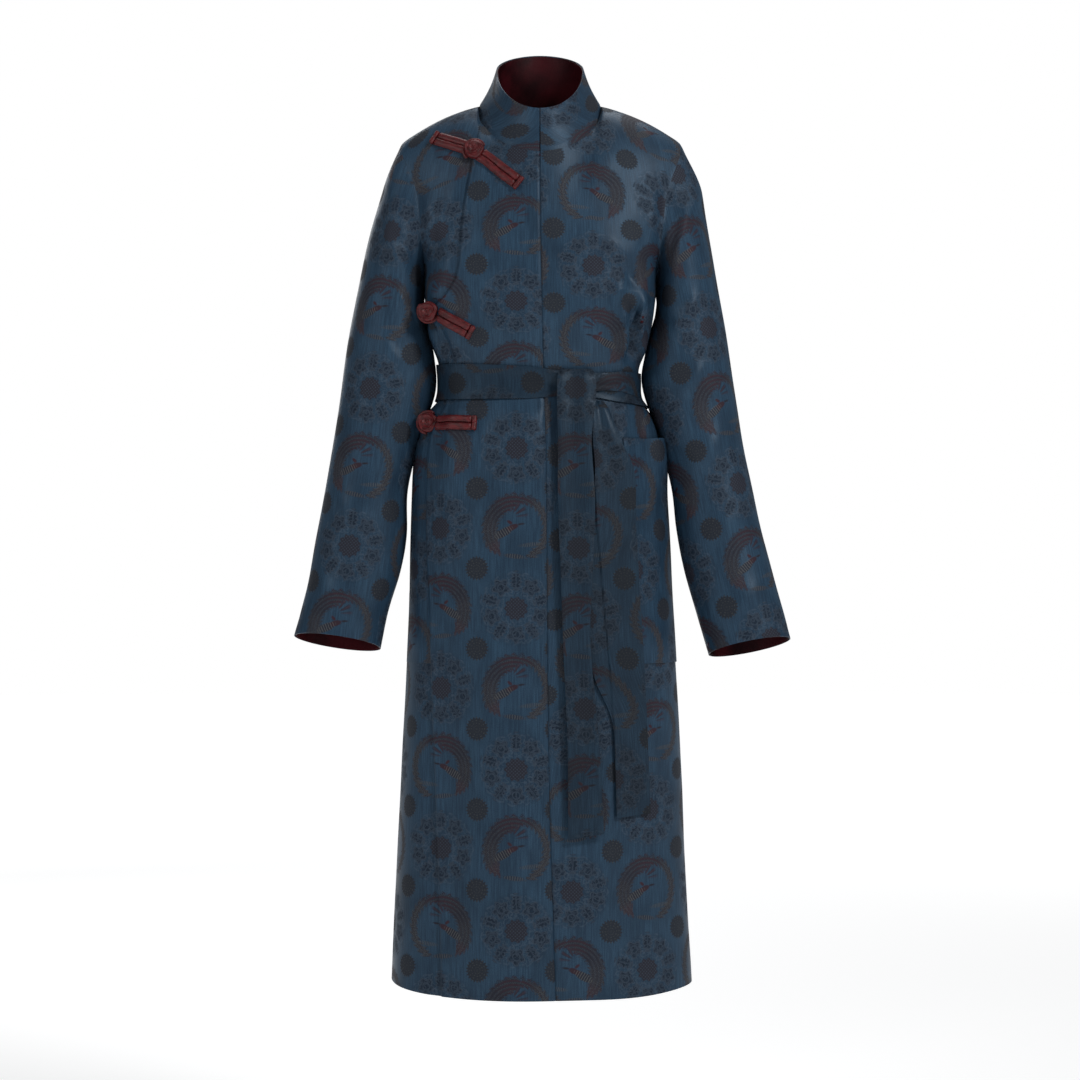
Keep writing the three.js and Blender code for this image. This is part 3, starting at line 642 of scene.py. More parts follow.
def overlap_pattern(points):
    """The last column is the centre seam."""
    run = arc_lengths(points, [0, 1], 1)
    across = points[:, -1:, 0] - (run[:, -1:] - run)
    return lattice(across, cloth_height(points), (-31, -507))


def back_pattern(points):
    run = arc_lengths(points, [0, 1], 1)
    middle = run.shape[1] // 2
    return lattice(run - run[:, middle : middle + 1], cloth_height(points), (0, -507))


def armhole_edge(side, turns):
    """The armhole edge of the body, where the sleeve's columns begin."""
    share = np.interp(np.minimum(turns, 360 - turns), armhole_turn(ARM_SHARES), ARM_SHARES)
    height = ARMPIT + UPPER * armhole_rise(share)
    angle = side * np.where(turns <= 180, 90.0, 90.001)
    return body_point(angle, height, 0)


ARM_SHARES = np.linspace(0, 1, ARMHOLE_CELLS + 1)


def sleeve_flat(rows, side, row, turn):
    """A point of a sleeve before any fold; row 0 is the first row of its table."""
    cosine = np.cos(np.radians(turn))
    sine = np.sin(np.radians(turn))
    value = {name: look_up(rows, "row", name, row) for name in rows if name != "row"}
    middle_y = (value["back"] - value["front"]) / 2
    half_depth = (value["back"] + value["front"]) / 2
    out = (1 - cosine) / 2
    return joined(
        side * mix(value["in_x"], value["out_x"], out),
        middle_y - half_depth * sine,
        mix(value["in_z"], value["out_z"], out) + value["tilt"] * sine,
    )


def sleeve_rings(rows, side, at, turns):
    """Rings of a sleeve at places given in rows of its table."""
    at, turns = same_shape(at[:, None], turns[None, :])
    return sleeve_flat(rows, side, at, turns)


def sleeve_grid(rows, side, turns):
    """Rings of a sleeve from the armhole down to the cuff, without folds."""
    edge = armhole_edge(side, turns)
    first, ahead = sleeve_rings(rows, side, np.array([0, 0.25]), turns)
    slope_end = (ahead - first) * 4
    chord = first - edge
    top = []
    for share in np.linspace(0, 1, SLEEVE_TOP_RINGS + 1)[:-1]:
        start, leave, end, arrive = hermite(share)
        out = edge * start + chord * 0.9 * leave
        top.append(out + first * end + mix(chord, slope_end, 0.6) * arrive)
    last = len(rows["row"]) - 1
    lower = sleeve_rings(rows, side, np.linspace(0, last, last * SLEEVE_RINGS_A_ROW + 1), turns)
    return np.concatenate([np.array(top), lower], axis=0)


def tube_normals(points, side):
    round_it = np.roll(points, -1, axis=1) - np.roll(points, 1, axis=1)
    down = np.gradient(points, axis=0)
    return unit(np.cross(round_it, down)) * -side


def sleeve_relief(points, turns, ring_share):
    side = np.where(turns <= 180, -1, 1)[None, :]
    inner = (bump(turns, 0, 50) + bump(turns, 360, 50))[None, :]
    free = smooth(0.02, 0.12, ring_share)[:, None] * (1 - smooth(0.93, 1.0, ring_share)[:, None])
    folds = SLEEVE_FOLD_SCALE * fold_relief(SLEEVE_FOLDS, points, side)
    return (folds + 0.8 * drift(points)) * free * (1 - 0.8 * inner)


def sleeve_pattern(points, turns, down, origin, side):
    """Pattern coordinates of a sleeve: up along it as seen from the front, across round its rings."""
    along = unit(np.array(down))
    across_way = np.array([along[1] * -1, along[0]])
    flat = points[..., [0, 2]]
    steps = np.diff(points, axis=1)
    level = steps[..., 0] * across_way[0] + steps[..., 2] * across_way[1]
    length = np.hypot(level, steps[..., 1])
    run = np.pad(np.cumsum(length, axis=1), [(0, 0), (1, 0)])
    front = len(turns) // 4
    run = (run - run[:, front : front + 1]) * side
    middle = flat[:, front : front + 1] @ across_way
    up = -(flat @ along)
    place = np.array(origin)
    return lattice(run + middle, up, (place @ across_way, -(place @ along)))


def grid_quads(ids, closed=False):
    """The four-cornered faces of a grid of points, with its last column joined to its first if closed."""
    around = np.concatenate([ids, ids[:, :1]], axis=1) if closed else ids
    return joined(around[:-1, :-1], around[:-1, 1:], around[1:, 1:], around[1:, :-1]).reshape(-1, 4)


class Shell:
    """Panels gathered into one cloth, welded where they are joined."""

    def __init__(self):
        self.points = []
        self.patterns = []
        self.quads = []
        self.count = 0
        self.joined = []

    def add(self, points, pattern, closed=False, flip=False):
        rows, columns = points.shape[:2]
        ids = np.arange(rows * columns).reshape(rows, columns) + self.count
        self.count += rows * columns
        self.points.append(points.reshape(-1, 3))
        self.patterns.append(pattern.reshape(-1, 2))
        quads = grid_quads(ids, closed)
        self.quads.append(quads[:, ::-1] if flip else quads)
        return ids

    def join(self, ids, others):
        self.joined.append((np.ravel(ids), np.ravel(others)))

    def welded(self):
        """Points, faces, and the pattern coordinates of every face's corners."""
        points = np.concatenate(self.points)
        patterns = np.concatenate(self.patterns)
        quads = np.concatenate(self.quads)
        stands_for = np.arange(len(points))
        for ids, others in self.joined:
            stands_for[ids] = stands_for[others]
        for _ in range(3):
            stands_for = stands_for[stands_for]
        totals = np.zeros((len(points), 3))
        counts = np.bincount(stands_for, minlength=len(points))
        for axis in range(3):
            totals[:, axis] = np.bincount(stands_for, weights=points[:, axis], minlength=len(points))
        kept = np.unique(stands_for)
        renumbered = np.full(len(points), -1)
        renumbered[kept] = np.arange(len(kept))
        means = totals[kept] / counts[kept, None]
        corner_patterns = patterns[quads]
        faces = renumbered[stands_for[quads]]
        sound = np.array([len(set(face)) == 4 for face in faces.tolist()])
        return means, faces[sound], corner_patterns[sound]


def grid_edges(faces):
    return np.concatenate([faces[:, [i, (i + 1) % 4]] for i in range(4)])


def smoothed(points, faces, weights, rounds):
    """Points drawn towards the middle of their neighbours and back, so breaks soften and size stays."""
    pairs = grid_edges(faces)
    here, there = np.concatenate([pairs, pairs[:, ::-1]]).T
    count = len(points)
    counts = np.bincount(here, minlength=count)[:, None]
    for turn in range(2 * rounds):
        pull = 0.5 if turn % 2 == 0 else -0.52
        totals = joined(*(np.bincount(here, weights=points[there, axis], minlength=count) for axis in range(3)))
        means = totals / counts
        points = points + (means - points) * pull * weights[:, None]
    return points


def vertex_normals(points, faces):
    a, b, c, d = (points[faces[:, i]] for i in range(4))
    face_normals = np.cross(c - a, d - b)
    totals = np.zeros((len(points), 3))
    for i in range(4):
        for axis in range(3):
            totals[:, axis] += np.bincount(faces[:, i], weights=face_normals[:, axis], minlength=len(points))
    return unit(totals)


def rim_edges(faces):
    """Edges that only one face uses, in the order that this face runs them."""
    pairs = grid_edges(faces)
    codes = pairs[:, 0] * (pairs.max() + 1) + pairs[:, 1]
    turned = pairs[:, 1] * (pairs.max() + 1) + pairs[:, 0]
    return pairs[~np.isin(codes, turned)]


def make_cloth(name, points, faces, patterns, materials, wall=WALL):
    """A cloth with its inner face a wall further in, and its edges closed. Faces run outwards."""
    normals = vertex_normals(points, faces)
    inner = points - normals * wall
    count = len(points)
    start, end = rim_edges(faces).T
    rim_faces = joined(end, start, start + count, end + count)
    all_faces = np.concatenate([faces, faces[:, ::-1] + count, rim_faces])
    pattern_at = np.zeros((count, 2))
    pattern_at[faces.reshape(-1)] = patterns.reshape(-1, 2)
    all_patterns = np.concatenate([patterns, patterns[:, ::-1], pattern_at[joined(end, start, start, end)]])
    slots = np.zeros(len(all_faces), dtype=int)
    slots[len(faces) : 2 * len(faces)] = min(1, len(materials) - 1)
    return make_piece(name, np.concatenate([points, inner]), all_faces, all_patterns, materials, slots)


def in_scene(name, data):
    """A new object in the scene that shows some data."""
    item = bpy.data.objects.new(name, data)
    bpy.context.scene.collection.objects.link(item)
    return item


def make_piece(name, points, faces, patterns, materials, slots=None, sharp=55):
    mesh = bpy.data.meshes.new(name)
    mesh.from_pydata((points * MM).tolist(), [], [list(map(int, face)) for face in faces])
    if patterns is not None:
        layer = mesh.uv_layers.new(name="pattern")
        layer.data.foreach_set("uv", np.asarray(patterns, dtype=np.float32).ravel())
    for material in materials:
        mesh.materials.append(material)
    if slots is not None:
        mesh.polygons.foreach_set("material_index", np.asarray(slots, dtype=np.int32))
    mesh.polygons.foreach_set("use_smooth", np.ones(len(mesh.polygons), dtype=bool))
    mesh.set_sharp_from_angle(angle=math.radians(sharp))
    mesh.update()
    piece = in_scene(name, mesh)
    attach(piece, "root")
    return piece


def grid_cloth(name, points, pattern, materials, wall=WALL, flip=False, closed=False):
    shell = Shell()
    shell.add(points, pattern, closed=closed, flip=flip)
    means, faces, patterns = shell.welded()
    return make_cloth(name, means, faces, patterns, materials, wall)


UNDER_DIP = 3.5
SMOOTHING_ROUNDS = 24
FOLD_RETURN = 0.7  # the share put back of what smoothing takes from a fold

# How each sleeve's brocade runs: the way down it, and where a phoenix lies, as x and z from the front.
SLEEVE_GRAIN = {1: ((0.19, -0.98), (240, -348)), -1: ((-0.125, -0.992), (-232, -428))}


def under_dip(edge, angle):
    """How far out the front under the overlap lies: behind the rest of the coat, past the overlap's edge less so."""
    return -UNDER_DIP * smooth(edge - 9, edge - 0.5, angle)


def make_shell(materials):
    """The coat's body and sleeves as one cloth."""
    rows = ROWS[:, None]
    left = left_angles()
    under = under_angles()
    back = back_angles()
    shell = Shell()

    left_points = body_point(left, rows, 0)
    seam_gap = arc_lengths(left_points, [0, 1], 1)
    left_points = left_points + outward(left, rows) * seam_dip(seam_gap)[..., None]
    left_ids = shell.add(left_points, left_pattern(left_points))

    edge = edge_angle(ROWS)[:, None]
    under_off = under_dip(edge, under) * (1 - 0.5 * smooth(-70, RIDGE, rows))
    under_points = body_point(under, rows, under_off)
    under_ids = shell.add(under_points, overlap_pattern(under_points))

    back_points = body_point(back, rows, 0)
    back_ids = shell.add(back_points, back_pattern(back_points))

    low = slice(0, LOW_ROWS)
    shell.join(back_ids[low, 0], left_ids[low, -1])
    shell.join(back_ids[low, -1], under_ids[low, 0])
    shoulder = slice(0, SHOULDER_CELLS + 1)
    shell.join(back_ids[-1, shoulder], left_ids[-1, ::-1][shoulder])
    shell.join(back_ids[-1, ::-1][shoulder], under_ids[-1, shoulder])
    add_sleeve(shell, 1, SLEEVE_PLUS_X, left_ids[:, -1], back_ids[:, 0])
    add_sleeve(shell, -1, SLEEVE_MINUS_X, under_ids[:, 0], back_ids[:, -1])

    points, faces, patterns = shell.welded()
    piece = make_cloth("coat_shell", softened(points, faces), faces, patterns, materials)
    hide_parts("front_left", "front_under", "back", "sleeve_left", "sleeve_right")
    return piece


def add_sleeve(shell, side, rows, front_ids, back_ids):
    """A sleeve, joined to the armhole edges of the front and the back."""
    half = armhole_turn(ARM_SHARES)
    turns = np.concatenate([half, 360 - half[::-1][1:-1]])
    points = sleeve_grid(rows, side, turns)
    share = np.linspace(0, 1, len(points))
    points = points + tube_normals(points, side) * sleeve_relief(points, turns, share)[..., None]
    pattern = sleeve_pattern(points, turns, *SLEEVE_GRAIN[side], side)
    pattern = np.concatenate([pattern, wrapped_pattern(pattern, points)], axis=1)
    ring = shell.add(np.concatenate([points, points[:, :1]], axis=1), pattern, flip=side > 0)
    shell.join(ring[:, -1], ring[:, 0])
    upper = slice(LOW_ROWS - 1, None)
    shell.join(ring[0, : ARMHOLE_CELLS + 1], front_ids[upper])
    shell.join(ring[0, ARMHOLE_CELLS + 1 : -1], back_ids[upper][::-1][1:-1])


def softened(points, faces):
    """The shell's points drawn smooth, with most of what that takes from the folds put back."""
    weights = smoothing_weights(points, faces)
    folds = shell_folds(points, vertex_normals(points, faces))
    kept = smoothed(joined(folds, folds, folds), faces, weights, SMOOTHING_ROUNDS)[:, 0]
    points = smoothed(points, faces, weights, SMOOTHING_ROUNDS)
    put_back = FOLD_RETURN * (folds - kept)
    return points + vertex_normals(points, faces) * put_back[:, None]


def shell_folds(points, normals):
    """The listed folds on the body and sleeves, where the cloth faces the front or the back."""
    side = np.where(normals[:, 1] < 0, -1, 1)
    facing = smooth(0.1, 0.5, np.abs(normals[:, 1]))
    z = points[:, 2]
    quiet = (1 - bump(z, BELT_MIDDLE, BELT_CALM)) * (1 - smooth(RIDGE_CALM_FROM, RIDGE, z))
    on_body = BODY_FOLD_SCALE * fold_relief(FOLDS, points, side) * quiet
    on_sleeves = SLEEVE_FOLD_SCALE * fold_relief(SLEEVE_FOLDS, points, side)
    return (on_body + on_sleeves) * facing


def wrapped_pattern(pattern, points):
    """Pattern coordinates of a sleeve's first column, run once round the ring."""
    gap = np.linalg.norm(points[:, 0] - points[:, -1], axis=-1)
    last = pattern[:, -1].copy()
    ahead = np.sign(pattern[:, -1, 0] - pattern[:, -2, 0])
    last[:, 0] += ahead * gap / PITCH
    last[:, 1] = pattern[:, 0, 1]
    return last[:, None, :]


def smoothing_weights(points, faces):
    """Where the cloth is drawn smooth: most at the armhole creases and the shoulders, never at a free edge."""
    x = np.abs(points[:, 0])
    z = points[:, 2]
    weights = bump(x, 160, 40) * smooth(-300, -235, z)
    weights = np.maximum(weights, 0.8 * smooth(-190, -120, z))
    weights = np.maximum(weights, 0.25)
    pairs = grid_edges(faces)
    held = np.zeros(len(points), dtype=bool)
    held[np.unique(rim_edges(faces))] = True
    for _ in range(HELD_RINGS):
        touched = held[pairs[:, 0]] | held[pairs[:, 1]]
        held[np.unique(pairs[touched])] = True
    return np.where(held, 0, weights)


def make_overlap(materials):
    rows = ROWS[:, None]
    centre = centre_angle(ROWS)[:, None]
    edge = edge_angle(ROWS)[:, None]
    shares = eased(32)
    both = 0.5 * (shares + 1 - shares[::-1])
    angles = mix(edge, centre, both[None, :])
    points = body_point(angles, rows, 0)
    run = arc_lengths(points, [0, 1], 1)
    to_seam = run[:, -1:] - run
    dip = seam_dip(to_seam)
    at_neck = smooth(-25, 5, points[..., 2])
    lip = (0.9 * bump(run, 3.5, 2.5) - 0.9 * bump(run, 0, 1.2)) * (1 - at_neck)
    lip = lip - 1.5 * bump(run, 0, 8) * at_neck
    points = points + outward(angles, rows) * (dip + lip)[..., None]
    piece = grid_cloth("coat_overlap", points, overlap_pattern(points), materials)
    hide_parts("front_overlap")
    return piece


LEVEL = np.array([1, 1, 0])  # takes the height out of a direction


def neck_share(angle):
    """Which side an angle is on, whether it is in front, and how far it is from the middle to the neck's side."""
    wrapped = half_turn(angle)
    is_front = np.abs(wrapped) < 90
    from_middle = np.where(is_front, np.abs(wrapped), 180 - np.abs(wrapped))
    side = np.where(wrapped < 0, -1.0, 1.0)
    return side, is_front, np.minimum(1, from_middle / NECK_COLUMN)


def collar_angles():
    """Columns from one side of the slit in front round the neck to the other."""
    cells = 30
    slit = 0.2
    front = np.linspace(slit, NECK_COLUMN, cells + 1)
    back = np.linspace(180 - NECK_COLUMN, 180 + NECK_COLUMN, 2 * cells)
    return np.concatenate([front, back[1:], 360 - front[::-1][1:]])


def collar_point(angle, rise):
    side, is_front, part = neck_share(angle)
    base = neck_line(side, part, is_front, NECK)
    rim = neck_line(side, part, is_front, RIM)
    hollow = unit(-rim * LEVEL) * (3 * np.sin(np.pi * rise))[..., None]
    return mix(base, rim, rise[..., None]) + hollow + np.array([0, 0, 0.35])


def collar_inward(angle, rise):
    side, is_front, part = neck_share(angle)
    rim = neck_line(side, part, is_front, RIM) * LEVEL
    point = collar_point(angle, rise) * LEVEL
    return -unit(mix(point, rim, 0.5))


def make_collar(brocade, lining):
    angles = collar_angles()[None, :]
    rises = np.linspace(-0.05, 1, 21)[:, None]
    grid_angle = angles + 0 * rises
    grid_rise = rises + 0 * angles
    points = collar_point(grid_angle, grid_rise)
    inward = collar_inward(grid_angle, grid_rise)
    soft = 0.5 * np.sin(np.radians(grid_angle) * 5 + 1) * np.sin(np.pi * grid_rise)
    points = points + inward * (1.6 * bump(grid_rise, -0.02, 0.035) - soft)[..., None]
    run = arc_lengths(points, [0, 1], 1)
    middle = run.shape[1] // 2
    pattern = lattice(run - run[:, middle : middle + 1], 90 + 62 * grid_rise, (30, 60))
    outer = grid_cloth("coat_collar", points, pattern, [brocade], wall=1.1)
    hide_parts("collar")
    deep_rise = np.linspace(-0.12, 0.975, 21)[:, None] + 0 * angles
    inner_points = collar_point(grid_angle, deep_rise) + collar_inward(grid_angle, deep_rise) * 1.5
    inner = grid_cloth("coat_collar_lining", inner_points, pattern, [lining], wall=0.9)
    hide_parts("collar_lining")
    return outer, inner


def make_cuff_lining(name, node, rows, side, lining):
    turns = np.linspace(0, 360, SLEEVE_CELLS + 1)[:-1]
    at = np.linspace(8.6, 9.97, 14)
    points = sleeve_rings(rows, side, at, turns)
    points = points - tube_normals(points, side) * 1.8
    pattern = joined(*same_shape(turns[None, :] / 60, at[:, None]))
    piece = grid_cloth(name, points, pattern, [lining], wall=0.9, flip=side > 0, closed=True)
    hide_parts(node)
    return piece


POCKET = dict(gap=0.45, wall=1.2, top=-392.0, bottom=-680.0, gape=8.5, gape_depth=90.0)


def pocket_rows():
    return np.linspace(POCKET["bottom"], POCKET["top"], 60)


def make_pockets(materials):
    rows = pocket_rows()[:, None]
    lift = POCKET["gap"] + POCKET["wall"]
    gape = POCKET["gape"] * smooth(POCKET["top"] - POCKET["gape_depth"], POCKET["top"], rows)
    share = np.linspace(0, 1, 34)[None, :]
    centre = centre_angle(pocket_rows())[:, None]
    left = mix(mix(centre, 90, NECK_COLUMN / 90), 88.5, share)
    bow = np.interp(share[0], np.linspace(0, 1, 6), [0, 0.15, 0.5, 0.9, 1.0, 0.25])[None, :]
    points = body_point(left, rows, lift + bow * gape)
    run = arc_lengths(points, [0, 1], 1)
    pattern = lattice(run, points[..., 2], (10, -458))
    one = grid_cloth("coat_pocket_left", points, pattern, materials, wall=POCKET["wall"])
    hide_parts("pocket_left")

    edge = edge_angle(pocket_rows())[:, None]
    inner = mix(edge, centre, 0.27)
    right = mix(mix(edge, -90, 0.72), inner, share)
    points = body_point(right, rows, lift + under_dip(edge, right))
    pattern = lattice(arc_lengths(points, [0, 1], 1), points[..., 2], (22, -458))
    two = grid_cloth("coat_pocket_right", points, pattern, materials, wall=POCKET["wall"])
    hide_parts("pocket_right")
    return one, two


# The belt's edges round the body, and its two hanging tails: x of both edges, and how far off the coat.
BELT_EDGES = table(
    "angle top bottom",
    [
        (-90, -293, -343),
        (-10, -299, -342),
        (18, -308, -338),
        (45, -306, -347),
        (90, -306, -352),
        (180, -300, -348),
        (270, -293, -343),
    ],
)
TIE = table(
    "z start end off",
    [
        (-902, 35.4, 81, 10.5),
        (-833, 35.4, 78, 10.5),
        (-771, 34.5, 74.5, 10.5),
        (-648, 29, 64, 10.5),
        (-560, 26, 67, 10.5),
        (-470, 22.7, 70, 10.5),
        (-395, 22.7, 65.7, 11.5),
        (-352, 21.5, 70, 14.0),
        (-334, 21.5, 71.5, 15.5),
        (-318, 22.0, 71.5, 14.5),
        (-309, 23.0, 70.0, 11.0),
        (-303.5, 27.0, 66.0, 6.5),
    ],
)
SECOND_TAIL = table(
    "z start end off crease",
    [
        (-875, 97.5, 141.5, 5.4, 97),
        (-760, 93, 137, 5.4, 94),
        (-735, 86, 136, 5.4, 92),
        (-700, 70, 134, 5.4, 90),
        (-660, 63, 132, 5.4, 86.7),
        (-599, 61, 128, 5.4, 80.7),
        (-545, 61, 125, 5.8, 76.5),
        (-500, 67, 122.5, 6.4, 72),
        (-433, 70, 120, 8.0, 68),
        (-390, 67, 101, 10.5, 66),
        (-355, 66, 88, 11.5, 65),
        (-344, 66, 80, 9.5, 65),
    ],
)
FLAP_DEPTH = 2.6  # how proud the second tail's folded part is, up to its crease


def make_belt_band(material):
    cells = 190
    angles = np.linspace(-90, 270, cells + 1)[None, :-1]
    rise = np.linspace(0, 1, 15)[:, None]
    bottom = look_up(BELT_EDGES, "angle", "bottom", angles)
    top = look_up(BELT_EDGES, "angle", "top", angles)
    height = mix(bottom, top, rise)
    pillow = 0.9 * (1 - (2 * rise - 1) ** 6)
    crease = 0.8 * np.sin(rise * 9 + np.radians(angles) * 5) * bump(angles, 18, 34)
    near_knot = bump(angles, 8, 14) * (1 - rise) * -2.2
    points = body_point(angles + 0 * rise, height, 3.2 + pillow + crease + near_knot)
    run = arc_lengths(np.concatenate([points, points[:, :1]], axis=1), [0, 1], 1)[:, :-1]
    pattern = lattice(run, height + 0 * run, (26, -372))
    piece = grid_cloth("coat_belt_band", points, pattern, [material], wall=1.6, closed=True)
    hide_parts("belt_band")
    return piece


def make_upper_strand(material):
    """The end of the belt that passes over the band on the wearer's left and into the knot."""
    along = np.linspace(0, 1, 42)[None, :]
    rise = np.linspace(0, 1, 13)[:, None]
    x = mix(62, 127, along) + 0 * rise
    top = np.interp(along, [0, 0.25, 0.6, 1], [-315, -308.5, -305.5, -306])
    bottom = np.interp(along, [0, 0.3, 0.6, 1], [-334, -331, -332, -340])
    z = mix(bottom, top, rise)
    fan = 0.9 * np.sin(rise * 11 + 1.2) * (1 - 0.6 * along)
    edge = 1 - (2 * rise - 1) ** 8
    tuck = 1 - smooth(0.8, 1.0, along)
    points = front_point(x, z, 4.4 + (1.6 * edge + fan) * tuck + 1.6 * (1 - along))[0]
    run = arc_lengths(points, [0, 1], 1)
    return grid_cloth("coat_belt_strand", points, lattice(run, z, (40, -350)), [material], wall=1.2)


def hanging_tail(name, rows, material, count, slope, pleat, origin):
    """A flat end of the belt that hangs straight, a little proud of the skirt."""
    z = np.linspace(rows["z"][0], rows["z"][-1], count)[:, None]
    share = np.linspace(0, 1, 41)[None, :]
    start = look_up(rows, "z", "start", z)
    end = look_up(rows, "z", "end", z)
    off = look_up(rows, "z", "off", z)
    x = mix(start, end, share)
    level = np.linspace(0.1, 0.9, 5)[None, :]
    behind = front_point(mix(start, end, level), z + 0 * level, 0)[0][..., 1]
    lean = np.polynomial.polynomial.polyfit(level[0], behind.T, 1)
    y = lean[0][:, None] + lean[1][:, None] * share - off
    near_top = smooth(rows["z"][-1] - 150, rows["z"][-1] - 20, z)
    y = y - pleat * near_top * np.sin(share * 9.5 + 0.9)
    y = y - 0.5 * np.sin(z / 47 + share * 2.2) - 0.5 * np.cos(share * math.pi * 2) * (1 - near_top)
    edge = 0.7 * (np.exp(-((share / 0.05) ** 2)) + np.exp(-(((1 - share) / 0.05) ** 2)))
    y = y + edge
    if "crease" in rows:
        crease = look_up(rows, "z", "crease", z)
        y = y + FLAP_DEPTH * (1 - smooth(crease - 1, crease + 1, x))
    tilt = slope * share * (1 - smooth(rows["z"][0], rows["z"][0] + 60, z))
    points = np.stack([x, y, z + tilt], axis=-1)
    return grid_cloth(name, points, lattice(x - start, z + 0 * x, origin), [material], wall=1.9)


def make_belt(material):
    band = make_belt_band(material)
    strand = make_upper_strand(material)
    tie = hanging_tail("coat_belt_tie", TIE, material, 210, 8, 0.9, (24, -430))
    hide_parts("belt_knot", "belt_tail_front")
    second = hanging_tail("coat_belt_second_tail", SECOND_TAIL, material, 180, 4, 1.1, (-4, -520))
    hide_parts("belt_tail_back")
    return [band, strand, tie, second]


# Frogs: where each knot sits and each wing ends, as x and z; how proud the knot stands, how far it faces
# forward, and the middle of its loop in degrees.
FROGS = (
    dict(
        name="frog_1",
        knot=(-84, -22),
        wings=dict(upper=(-138, -2), lower=(-25, -68)),
        proud=0.8,
        facing=0.2,
        loop=-50,
    ),
    dict(name="frog_2", knot=(-137, -228), wings=dict(lower=(-86, -258)), proud=6.6, facing=0.75, loop=60),
    dict(name="frog_3", knot=(-141, -372), wings=dict(lower=(-80, -373)), proud=4.8, facing=0.75, loop=-20),
)
BAR_HALF = 4.3
ROSE_RADIUS = 13.0


def tube(path, across, out, half_wide, half_high, corners=14):
    """A soft closed tube along a path; across and out are its side and upper directions."""
    turns = np.linspace(0, math.tau, corners + 1)[:-1]
    press = 0.8
    wide = np.sign(np.cos(turns)) * np.abs(np.cos(turns)) ** press
    high = np.sign(np.sin(turns)) * np.abs(np.sin(turns)) ** press
    aside = across[:, None] * wide[None, :, None] * half_wide[:, None, None]
    above = out[:, None] * (high[None, :, None] + 1) * half_high[:, None, None]
    return path[:, None] + aside + above


def tube_faces(rings, start):
    count, corners = rings.shape[:2]
    ids = np.arange(count * corners).reshape(count, corners) + start
    return grid_quads(ids, closed=True).tolist() + [ids[0][::-1].tolist(), ids[-1].tolist()]


def make_tubes(name, all_rings, material):
    points = []
    faces = []
    count = 0
    for rings in all_rings:
        faces += tube_faces(rings, count)
        points.append(rings.reshape(-1, 3))
        count += rings.shape[0] * rings.shape[1]
    return make_piece(name, np.concatenate(points), faces, None, [material], sharp=70)


def rounded_ends(count):
    """Widths of a tube from one end to the other: full in the middle, round at its ends."""
    share = np.linspace(0, 1, count)
    return np.sqrt(np.clip(share / 0.05, 0.06, 1)) * np.sqrt(np.clip((1 - share) / 0.05, 0.06, 1))


def make_wing(frog, wing, end, material):
    count = 34
    knot = np.array(frog["knot"], float)
    stop = np.array(end, float)
    length = np.linalg.norm(stop - knot)
    shares = np.linspace((ROSE_RADIUS - 4.0) / length, 1 - 5.0 / length, count)
    place = knot[None, :] + (stop - knot)[None, :] * shares[:, None]
    base, out = front_point(place[:, 0], place[:, 1], 0.7)
    along = unit(np.gradient(base, axis=0))
    across = unit(np.cross(along, out))
    widths = rounded_ends(count)
    rings = []
    for side in (-1, 1):
        bulge = 1 + 0.03 * np.sin(np.linspace(0, 17, count) + side)
        path = base + across * side * (BAR_HALF + 0.25)
        rings.append(tube(path, across, out, BAR_HALF * widths * bulge, 2.4 * widths * bulge))
        seam = base + across * side * (2 * BAR_HALF + 0.1)
        rings.append(tube(seam, across, out, 0.9 * widths, 1.3 * widths, corners=8))
    rings.append(tube(base - out * 0.2, across, out, widths, 0.7 * widths, corners=8))
    fold_share = np.linspace(-1, 1, 27)
    last = base[-1] + along[-1] * 2.4
    fold = last[None, :] + across[-1][None, :] * fold_share[:, None] * (2 * BAR_HALF + 1.2)
    fold_across = np.repeat(along[-1][None, :], len(fold), axis=0)
    fold_out = np.repeat(out[-1][None, :], len(fold), axis=0)
    dip = 1 - 0.14 * np.exp(-((fold_share / 0.09) ** 2))
    ends = rounded_ends(len(fold))
    rings.append(tube(fold, fold_across, fold_out, 3.1 * ends * dip, 2.9 * ends * dip))
    piece = make_tubes(f"coat_{frog['name']}_wing_{wing}", rings, material)
    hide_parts(f"{frog['name']}_wing_{wing}")
    return piece


def rose_height(radius_share, turn):
    """The folds of a rolled knot: petals that lap over each other in a spiral, with a bud at the middle."""
    spiral = radius_share * 2.1 - turn / math.tau + 0.1 * np.sin(3 * turn)
    fraction = spiral - np.floor(spiral)
    lap = np.clip(fraction / 0.78, 0, 1) ** 1.4 * (1 - smooth(0.80, 1.0, fraction))
    petals = 1 + 0.4 * np.sin(3 * turn + 5 * radius_share)
    dome = np.sqrt(np.clip(1 - radius_share**2.4, 0, 1))
    bud = 1.3 * np.exp(-((radius_share / 0.2) ** 2))
    return 6.2 * dome + 4.2 * lap * petals * (0.35 + 0.65 * radius_share) * dome**0.4 + bud


